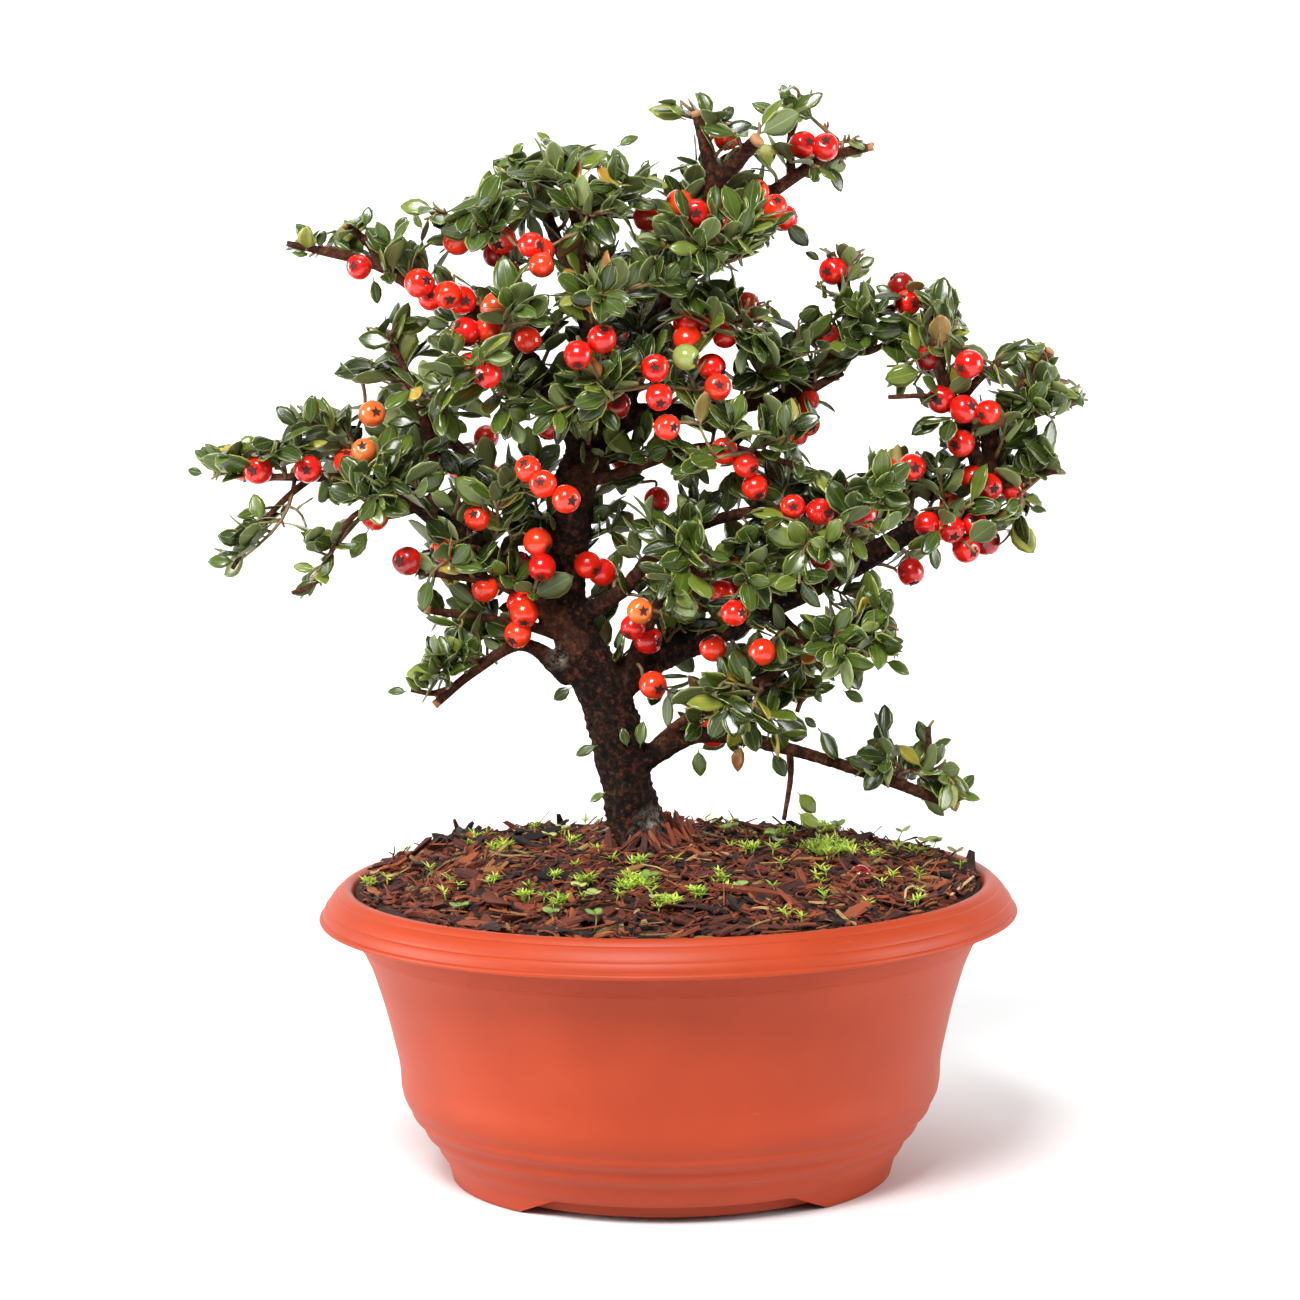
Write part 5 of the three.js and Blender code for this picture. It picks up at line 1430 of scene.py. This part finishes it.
def make_shoots():
    """Every leafy shoot: leaves read from the photograph, the shoot itself and the spurs near it."""
    spurs, seen = bough_spurs(), seen_leaves()
    for number, (name, (root, *tips)) in enumerate(SHOOTS.items()):
        rng = random.Random(500 + number)
        leaves, twigs = Pile(), Pile()
        for base, tip in seen[name]:
            face = np.array([rng.uniform(-0.5, 0.5), -0.8, rng.uniform(0.1, 0.9)])
            add_leaf(leaves, Leaf(base, tip - base, face, np.linalg.norm(tip - base) / 1.12, rng))
        main_shoot(leaves, twigs, nearest_wood(root)[0], tips, rng)
        for base, heading, reach in spurs[name]:
            path = bent_path(base, drawn_in(base, base + heading * reach), rng, 5)
            leafy_twig(leaves, twigs, path, np.linspace(0.65, 0.4, 5), rng, 0.25, 0.9)
        node = f"leaves_{name}"
        leaves.piece(f"leaves_of_{name}", [LEAF_TOP, LEAF_UNDER], "leaf", [node])
        twigs.piece(f"twigs_of_{name}", [TWIG], "bark", [node])


# Berries

def nearest_twig(point):
    """The nearest wood or twig to a berry, and its radius."""
    wood, radius, _ = nearest_wood(point)
    twigs = np.array(twig_points)
    gaps = np.linalg.norm(twigs[:, :3] - point, axis=1)
    gaps[gaps < BERRY_RADIUS] = 99
    best = np.argmin(gaps)
    if gaps[best] < np.linalg.norm(point - wood) - radius:
        return twigs[best, :3], twigs[best, 3]
    return wood, radius


def fruit_axes(centre, wood, lean, rng):
    """Three directions square to each other; the first is the way that the fruit's free end points."""
    if lean:
        away = unit((lean[0], -math.sqrt(max(0.05, 1 - lean[0] ** 2 - lean[1] ** 2)), lean[1]))
    else:
        away = unit(unit(centre - wood) + np.array([rng.gauss(0, 0.5), -0.3, rng.gauss(-0.1, 0.5)]))
    side = unit(np.cross(away, (0.21, 0.4, 0.9)))
    return away, side, np.cross(away, side)


def fruit_points(centre, axes, radius, phase):
    """The points of a round fruit, a little uneven and sunken at its free end."""
    away, side, other = axes
    points = [centre + away * radius * 0.8]
    for i in range(1, BERRY_RINGS):
        polar = math.pi * i / BERRY_RINGS
        out, up = math.sin(polar), math.cos(polar)
        if polar < EYE_ANGLE:
            up -= 0.17 * (1 - (polar / EYE_ANGLE) ** 2)
        up *= 1.04
        for j in range(BERRY_SEGMENTS):
            a = TURN * j / BERRY_SEGMENTS
            wobble = 1 + 0.012 * math.sin(3 * a + phase)
            level = out * (math.cos(a) * side + math.sin(a) * other)
            points.append(centre + radius * wobble * (level + up * away))
    points.append(centre - away * radius * 1.0)
    return points


def add_sepals(pile, centre, axes, radius, rng):
    """Adds the star of five dried sepals round the scar at a fruit's free end."""
    away, side, other = axes
    top = centre + away * radius * 0.9
    for i in range(5):
        a = TURN * i / 5 + rng.uniform(-0.15, 0.15)
        out = math.cos(a) * side + math.sin(a) * other
        reach = radius * rng.uniform(0.36, 0.5)
        low, high = top + out * reach * 0.1, top + out * reach - away * radius * 0.02
        half = np.cross(away, out) * radius * 0.16
        body = [low + half - away * 0.25, low - half - away * 0.25, high - away * 0.2,
                low + half + away * 0.12, low - half + away * 0.12, high + away * 0.18]
        pile.add(body, [(0, 1, 2), (5, 4, 3), (0, 3, 4, 1), (1, 4, 5, 2), (2, 5, 3, 0)],
                 tone=rng.uniform(0.1, 0.5))
    points, faces, uvs = tube([centre + away * radius * 0.74, centre + away * radius * 0.93],
                              [radius * 0.16, radius * 0.1], 7)
    pile.add(points, faces, uvs, tone=0.1)


def add_stalk(pile, start, away, target):
    """Adds a short stalk that leaves a fruit straight and bends to its twig."""
    reach = np.linalg.norm(target - start)
    path = smooth_path([start, start - away * min(2.5, reach * 0.4), (start + target) / 2 + UP * 0.6,
                        target], 3)
    pile.add(*tube(path, np.linspace(0.42, 0.6, len(path)), 6), tone=0.75)


def make_berries():
    """Round fruits, each with a sunken star of dried sepals at its free end, on a short stalk."""
    faces = ball_faces(BERRY_SEGMENTS, BERRY_RINGS)
    for number, (name, bunch) in enumerate(berry_spots.items()):
        rng = random.Random(900 + number)
        fruit, dry, stalks = Pile(), Pile(), Pile()
        for centre, ripeness_and_shade, lean in bunch:
            wood, wood_radius = nearest_twig(centre)
            radius = BERRY_RADIUS * rng.uniform(0.9, 1.06)
            axes = fruit_axes(centre, wood, lean, rng)
            # The fruit's tone is its ripeness; where it is darkest it is partly painted shade.
            fruit.add(fruit_points(centre, axes, radius, number), faces, tone=ripeness_and_shade)
            add_sepals(dry, centre, axes, radius, rng)
            target = wood + unit(centre - wood) * wood_radius * 0.5
            add_stalk(stalks, centre - axes[0] * radius * 0.93, axes[0], target)
        node = f"berries_{name}"
        fruit.piece(f"fruit_of_{name}", [SKIN], "fruit", [node])
        dry.piece(f"sepals_of_{name}", [SEPALS], "fruit", [node], smooth=False)
        stalks.piece(f"stalks_of_{name}", [TWIG], "bark", [node])


# Mulch

def soil_surface(x, y):
    """The height of the compost: the mound, with lumps and a rise at the back left."""
    broad = 1.6 * noise.noise(Vector((x * 0.07, y * 0.07, 3.1)))
    small = 0.9 * noise.noise(Vector((x * 0.21, y * 0.21, 7.7)))
    left_back = 2.2 * math.exp(-((x + 62) ** 2 + (y - 20) ** 2) / 900)
    r = math.hypot(x, y)
    edge = min(1.0, max(0.0, (SOIL_RADIUS - r) / 8))
    return soil_height(r) - 0.6 + (broad + small + left_back) * edge


def make_mound():
    """The compost under the bark: a lumpy mound, closed underneath inside the bowl."""
    points = [(0, 0, soil_surface(0, 0)), (0, 0, MOUND_FLOOR)]
    for i in range(1, MOUND_RINGS + 1):
        for x, y, _ in level_ring(SOIL_RADIUS * i / MOUND_RINGS, 0):
            grit = 0.5 * noise.noise(Vector((x * 0.8, y * 0.8, 1.3))) if i < MOUND_RINGS else 0
            points.append((x, y, soil_surface(x, y) + grit))
    for radius, height in MOUND_UNDERSIDE:
        points += level_ring(radius, height)
    pile = Pile()
    pile.add(points, turned_faces(MOUND_RINGS + len(MOUND_UNDERSIDE), inside_out=True), tone=0.35)
    pile.piece("compost_mound", [COMPOST], "mulch", ["mulch"])


def shard(rng, length, width, thick, stations=4):
    """A torn chip of bark: a flat, bent sliver with ragged ends."""
    points, uvs = [], []
    seed = rng.uniform(0, 99)
    bend, twist = rng.uniform(-0.12, 0.12) * length, rng.uniform(-0.5, 0.5)
    for i in range(stations):
        t = i / (stations - 1)
        x = (t - 0.5) * length
        swell = math.sin(math.pi * min(0.97, max(0.08, t + rng.uniform(-0.08, 0.08)))) ** 0.6
        w = width * (0.35 + 0.65 * swell)
        h = thick * rng.uniform(0.6, 1.1)
        lift = bend * (t - 0.5) ** 2 * 4
        c, s = math.cos(twist * (t - 0.5)), math.sin(twist * (t - 0.5))
        drift = rng.uniform(-0.12, 0.12) * width
        for u, v in ((-0.5, -0.5), (0.5, -0.4), (0.45, 0.5), (-0.4, 0.5)):
            y, z = u * w + drift, v * h
            ragged = rng.uniform(-0.06, 0.06) * length * (i in (0, stations - 1))
            points.append((x + ragged, y * c - z * s, lift + y * s + z * c))
            uvs.append((seed + x, seed + y + z))
    faces = [(i * 4 + j, i * 4 + (j + 1) % 4, (i + 1) * 4 + (j + 1) % 4, (i + 1) * 4 + j)
             for i in range(stations - 1) for j in range(4)]
    faces += [(3, 2, 1, 0), tuple((stations - 1) * 4 + j for j in range(4))]
    return np.array(points), faces, uvs


def lay(points, x, y, height, yaw, pitch, roll):
    """Turns a chip and sets it down at a place on the mulch."""
    slope_x = (soil_surface(x + 2, y) - soil_surface(x - 2, y)) / 4
    slope_y = (soil_surface(x, y + 2) - soil_surface(x, y - 2)) / 4
    turn = (Matrix.Rotation(-math.atan(slope_x), 3, "Y") @ Matrix.Rotation(math.atan(slope_y), 3, "X")
            @ Matrix.Rotation(yaw, 3, "Z") @ Matrix.Rotation(pitch, 3, "Y") @ Matrix.Rotation(roll, 3, "X"))
    return points @ np.array(turn).T + (x, y, soil_surface(x, y) + height)


def clear_of_trunk(x, y):
    """Whether a place lies beyond the foot of the trunk."""
    return math.hypot(x - TRUNK_FOOT_X, y) > TRUNK_CLEARANCE


def soil_spot(rng, reach=SOIL_RADIUS - 3):
    """A place on the mulch, clear of the trunk."""
    while True:
        r, a = reach * math.sqrt(rng.random()), rng.uniform(0, TURN)
        x, y = r * math.cos(a), r * math.sin(a)
        if clear_of_trunk(x, y):
            return x, y


def kept_within(x, y, reach):
    """A place on the mulch, moved in from the edge if it lies beyond a reach."""
    r = math.hypot(x, y)
    return (x * reach / r, y * reach / r) if r > reach else (x, y)


def chip_tone(rng):
    """Mostly red-brown; some chips are nearly black, some ochre or olive."""
    pick = rng.random()
    if pick < 0.2:
        return rng.uniform(0.0, 0.2)
    if pick > 0.9:
        return rng.uniform(0.72, 1.0)
    return min(0.72, max(0.15, rng.gauss(0.46, 0.15)))


def strewn_chip(rng, kind):
    """A chip of a kind somewhere on the mulch. At the edge it lies along the bowl's wall."""
    _, lengths, widths, thicknesses, lift = kind
    length = rng.uniform(*lengths)
    points, faces, uvs = shard(rng, length, rng.uniform(*widths), rng.uniform(*thicknesses))
    x, y = soil_spot(rng, SOIL_RADIUS - 0.8)
    r = math.hypot(x, y)
    yaw = rng.uniform(0, TURN)
    if r > SOIL_RADIUS - length / 2:
        yaw = math.atan2(y, x) + math.pi / 2 + rng.gauss(0, 0.12)
        inner = min(r, SOIL_RADIUS - 1.5 - length * length / 700)
        x, y = x * inner / r, y * inner / r
    height = rng.uniform(-0.3, lift)
    return lay(points, x, y, height, yaw, rng.gauss(0, 0.2), rng.gauss(0, 0.4)), faces, uvs


def make_chips():
    """Shredded bark: broad chips, splinters, crumbs and fibres, each kind a piece, and a heap at the
    left edge."""
    rng = random.Random(31)
    for name, kind in BARK_KINDS.items():
        pile = Pile()
        for _ in range(kind[0]):
            pile.add(*strewn_chip(rng, kind), chip_tone(rng))
        pile.piece(f"bark_{name}", [CHIP], "mulch", smooth=False)
    heap = Pile()
    for _ in range(HEAPED_CHIPS):
        place = on_soil((rng.uniform(*HEAP_ACROSS), rng.uniform(*HEAP_DOWN)))
        points, faces, uvs = shard(rng, rng.uniform(5, 13), rng.uniform(1.2, 3.2), rng.uniform(0.6, 1.4))
        placed = lay(points, *kept_within(*place, SOIL_RADIUS - 6), rng.uniform(1.2, 3.8),
                     rng.uniform(0, TURN), rng.gauss(0, 0.35), rng.gauss(0, 0.5))
        heap.add(placed, faces, uvs, min(1, max(0, rng.gauss(0.3, 0.2))))
    heap.piece("bark_heaped", [CHIP], "mulch", smooth=False)


def blade(start, way, face, length, half, droop):
    """A narrow pointed moss leaf with three sides."""
    wide = np.cross(way, face)
    points = []
    for t, w in ((0, 0.7), (0.45, 1.0), (0.8, 0.55)):
        centre = start + way * length * t - face * droop * length * t * t
        points += [centre - wide * half * w, centre + wide * half * w, centre - face * half * 0.5 * w]
    points.append(start + way * length - face * droop * length)
    faces = [(2, 1, 0)]
    for k in (0, 3):
        faces += [(k + j, k + (j + 1) % 3, k + (j + 1) % 3 + 3, k + j + 3) for j in range(3)]
    faces += [(6, 7, 9), (7, 8, 9), (8, 6, 9)]
    return points, faces


def moss_sprig(pile, x, y, rng):
    """Adds a sprig of moss: a short stem with a star of narrow leaves."""
    root = np.array([x, y, soil_surface(x, y) + 1.4])
    lean = unit((rng.gauss(0, 0.25), rng.gauss(0, 0.25), 1))
    height = rng.uniform(1.4, 3.0)
    top = root + lean * height
    tone = rng.uniform(0.3, 0.9)
    pile.add(*tube([root, top], [0.22, 0.16], 4), tone=tone * 0.6)
    count, spin = rng.randint(5, 8), rng.uniform(0, TURN)
    for i in range(count):
        a = spin + TURN * i / count
        out = np.array([math.cos(a), math.sin(a), 0])
        way = unit(out + UP * rng.uniform(0.25, 1.3))
        face = unit(UP - way * np.dot(UP, way))
        points, faces = blade(top - lean * rng.uniform(0, height * 0.4), way, face, rng.uniform(1.9, 3.6),
                              rng.uniform(0.26, 0.42), rng.uniform(0.0, 0.4))
        pile.add(points, faces, tone=tone)


def make_moss():
    """Bright star-shaped sprigs of moss in patches and strays."""
    rng = random.Random(57)
    spots = []
    for across, down, spread, count in MOSS_PATCHES:
        x, y = on_soil((across, down))
        spread *= MM_PER_PIXEL * MOSS_TIGHTNESS
        spots += [(x + rng.gauss(0, spread), y + rng.gauss(0, spread * 1.4)) for _ in range(count)]
    spots += [soil_spot(rng) for _ in range(STRAY_SPRIGS)]
    pile = Pile()
    for x, y in spots:
        if math.hypot(x, y) < SOIL_RADIUS - 3 and clear_of_trunk(x, y):
            moss_sprig(pile, x, y, rng)
    pile.piece("moss_sprigs", [MOSS], "leaf")


def round_leaf(centre, way, face, radius, steps=12):
    """A small round seed leaf, thin and slightly dished."""
    wide = np.cross(face, way)
    points = [centre + way * radius]
    for ring in (0.55, 1.0):
        for j in range(steps):
            a = TURN * j / steps
            level = centre + way * radius * (1 + ring * math.cos(a))
            points.append(level + wide * radius * 0.92 * ring * math.sin(a)
                          + face * radius * 0.12 * ring ** 2)
    top = len(points)
    points += [p - face * 0.25 for p in points[:1 + steps]]
    pairs = [(j, (j + 1) % steps) for j in range(steps)]
    faces = [(0, 1 + j, 1 + n) for j, n in pairs]
    faces += [(1 + j, 1 + steps + j, 1 + steps + n, 1 + n) for j, n in pairs]
    faces += [(top, top + 1 + n, top + 1 + j) for j, n in pairs]
    faces += [(top + 1 + j, top + 1 + n, 1 + steps + n, 1 + steps + j) for j, n in pairs]
    return points, faces


def make_seedlings():
    """Weed seedlings: two to four round leaves on a thin stem."""
    rng = random.Random(88)
    pile = Pile()
    spots = [on_soil(pixel) for pixel in SEEDLINGS] + [soil_spot(rng) for _ in range(9)]
    for spot in spots:
        x, y = kept_within(*spot, SOIL_RADIUS - 4)
        root = np.array([x, y, soil_surface(x, y) + 0.3])
        top = root + np.array([rng.gauss(0, 0.8), rng.gauss(0, 0.8), rng.uniform(2.5, 5)])
        tone = rng.uniform(0.2, 0.9)
        pile.add(*tube([root, (root + top) / 2 + (0.2, 0, 0), top], [0.25, 0.22, 0.2], 5), tone=tone)
        count, spin = rng.randint(2, 4), rng.uniform(0, TURN)
        for i in range(count):
            a = spin + TURN * i / count
            way = unit((math.cos(a), math.sin(a), rng.uniform(0.1, 0.6)))
            face = unit(UP - way * way[2] + np.array([0, -0.25, 0]))
            face = unit(face - way * np.dot(face, way))
            points, faces = round_leaf(top, way, face, rng.uniform(1.0, 1.9))
            pile.add(points, faces, tone=tone)
    pile.piece("seedlings", [SEEDLING], "leaf")


def make_fallen_berry():
    """A dark red berry that lies on the mulch."""
    x, y = on_soil(FALLEN_BERRY)
    points, faces, uvs = ball(np.array([x, y, soil_surface(x, y) + 0.4]), 3.3, 20, 12)
    fallen = Pile()
    fallen.add(points, faces, uvs, tone=1.0)
    fallen.piece("fallen_berry", [SKIN], "fruit")


def make_litter():
    """Two seed scales and a few long or pale chips."""
    rng = random.Random(12)
    bits = Pile()
    for pixel in SEED_SCALES:
        points, faces, uvs = ball(np.zeros(3), 1.0, 18, 10)
        points = np.array(points) * (4.6, 4.2, 0.8)
        points[:, 2] += 0.05 * points[:, 0] ** 2
        bits.add(lay(points, *on_soil(pixel), 2.2, rng.uniform(0, 3), 0.15, 0.35), faces, uvs, tone=0.42)
    for first, last, tone in LONG_CHIPS:
        (ax, ay), (bx, by) = on_soil(first), on_soil(last)
        points, faces, uvs = shard(rng, math.hypot(bx - ax, by - ay), 2.6, 1.1)
        yaw = math.atan2(by - ay, bx - ax)
        bits.add(lay(points, (ax + bx) / 2, (ay + by) / 2, 2.4, yaw, 0, 0.3), faces, uvs, tone)
    for pixel in ODD_BITS:
        points, faces, uvs = shard(rng, rng.uniform(3, 6), 1.6, 0.8)
        bits.add(lay(points, *on_soil(pixel), 2.6, rng.uniform(0, 3), 0.1, 0.3), faces, uvs, tone=1.0)
    bits.piece("litter", [CHIP], "mulch", smooth=False)


def make_pale_sticks():
    """A pale stick and a curled rootlet."""
    pale = Pile()
    for line, radius in ((PALE_STICK, 0.4), (ROOTLET, 0.35)):
        spots = [on_soil(pixel) for pixel in line]
        path = smooth_path([(x, y, soil_surface(x, y) + 2.2) for x, y in spots], 6)
        pale.add(*tube(path, np.full(len(path), radius), 8), tone=0.95)
    pale.piece("pale_sticks", [CUT_WOOD], "mulch")


def make_heaped_strips():
    """Torn strips that stand against the foot of the trunk."""
    rng = random.Random(64)
    pile = Pile()
    for _ in range(CHIPS_AT_TRUNK):
        a = rng.uniform(0, TURN)
        r = rng.uniform(TRUNK_CLEARANCE, TRUNK_CLEARANCE + 4)
        x, y = TRUNK_FOOT_X + math.cos(a) * r, math.sin(a) * r
        points, faces, uvs = shard(rng, rng.uniform(7, 15), rng.uniform(1.2, 3), rng.uniform(0.5, 1.0))
        placed = lay(points, x, y, rng.uniform(1, 4.5), a + rng.gauss(math.pi, 0.5),
                     rng.uniform(-1.2, -0.5), rng.gauss(0, 0.4))
        pile.add(placed, faces, uvs, min(1, max(0, rng.gauss(0.45, 0.14))))
    pile.piece("bark_chips_at_trunk", [CHIP], "mulch", smooth=False)


make_bowl()
make_wood()
make_shoots()
make_berries()
make_mound()
make_chips()
make_moss()
make_seedlings()
make_fallen_berry()
make_litter()
make_pale_sticks()
make_heaped_strips()


# Floor, light and camera

def make_floor():
    """A plain, nearly white studio sweep: floor and wall in one."""
    paper, _, _ = surface("studio_paper", Roughness=0.9, Base_Color=colour("#e4e4e4"))
    curve = [(-3.0, 0.0), (1.2, 0.0)]
    curve += [(1.2 + 0.8 * math.sin(a), 0.8 - 0.8 * math.cos(a)) for a in np.linspace(0.1, math.pi / 2, 12)]
    curve.append((2.0, 4.0))
    points = [(x, y, z) for y, z in curve for x in (-4.0, 4.0)]
    faces = [(2 * k, 2 * k + 1, 2 * k + 3, 2 * k + 2) for k in range(len(curve) - 1)]
    mesh = bpy.data.meshes.new("studio_sweep")
    mesh.from_pydata(points, [], faces)
    mesh.materials.append(paper)
    floor = bpy.data.objects.new("studio_sweep", mesh)
    bpy.context.scene.collection.objects.link(floor)
    floor.data.shade_smooth()


def softbox(name, place, target, size, power):
    """A white area light in metres that looks at a target."""
    light = bpy.data.lights.new(name, "AREA")
    light.shape, light.size, light.size_y = "RECTANGLE", size[0], size[1]
    light.energy = power
    made = bpy.data.objects.new(name, light)
    made.location = place
    made.rotation_euler = (Vector(target) - Vector(place)).to_track_quat("-Z", "Y").to_euler()
    bpy.context.scene.collection.objects.link(made)


def make_lights():
    """Soft light from the front, both sides and the top, a lit back wall and a faint white sky."""
    middle = (0, 0, 0.16)
    softbox("front_softbox", (-0.25, -0.9, 1.05), middle, (0.5, 0.4), 26)
    softbox("top_softbox", (0, 0.3, 1.5), middle, (1.0, 0.6), 5)
    softbox("left_softbox", (-1.1, -0.12, 0.32), middle, (0.5, 0.5), 13)
    softbox("right_softbox", (1.1, -0.18, 0.32), middle, (0.5, 0.5), 9.5)
    softbox("back_wall_light", (0, 0.9, 1.4), (0, 2.0, 0.6), (2.4, 0.8), 46)
    world = bpy.data.worlds.new("studio")
    world.use_nodes = True
    background = world.node_tree.nodes["Background"]
    background.inputs["Color"].default_value = colour("#ffffff")
    background.inputs["Strength"].default_value = 0.14
    bpy.context.scene.world = world


def make_camera():
    """The camera of the photograph."""
    camera = bpy.data.cameras.new("photo_camera")
    camera.sensor_width = 36
    camera.lens = FOCAL_PIXELS / PHOTO_SIZE * camera.sensor_width
    camera.clip_end = 20
    made = bpy.data.objects.new("photo_camera", camera)
    made.location = to_frame([CAMERA_PLACE])[0]
    tilt = Matrix.Rotation(math.pi / 2 - CAMERA_DOWN, 4, "X")
    made.rotation_euler = (tilt @ Matrix.Rotation(CAMERA_ROLL, 4, "Z")).to_euler()
    bpy.context.scene.collection.objects.link(made)
    bpy.context.scene.camera = made
    bpy.context.scene.view_settings.view_transform = "Standard"


make_floor()
make_lights()
make_camera()
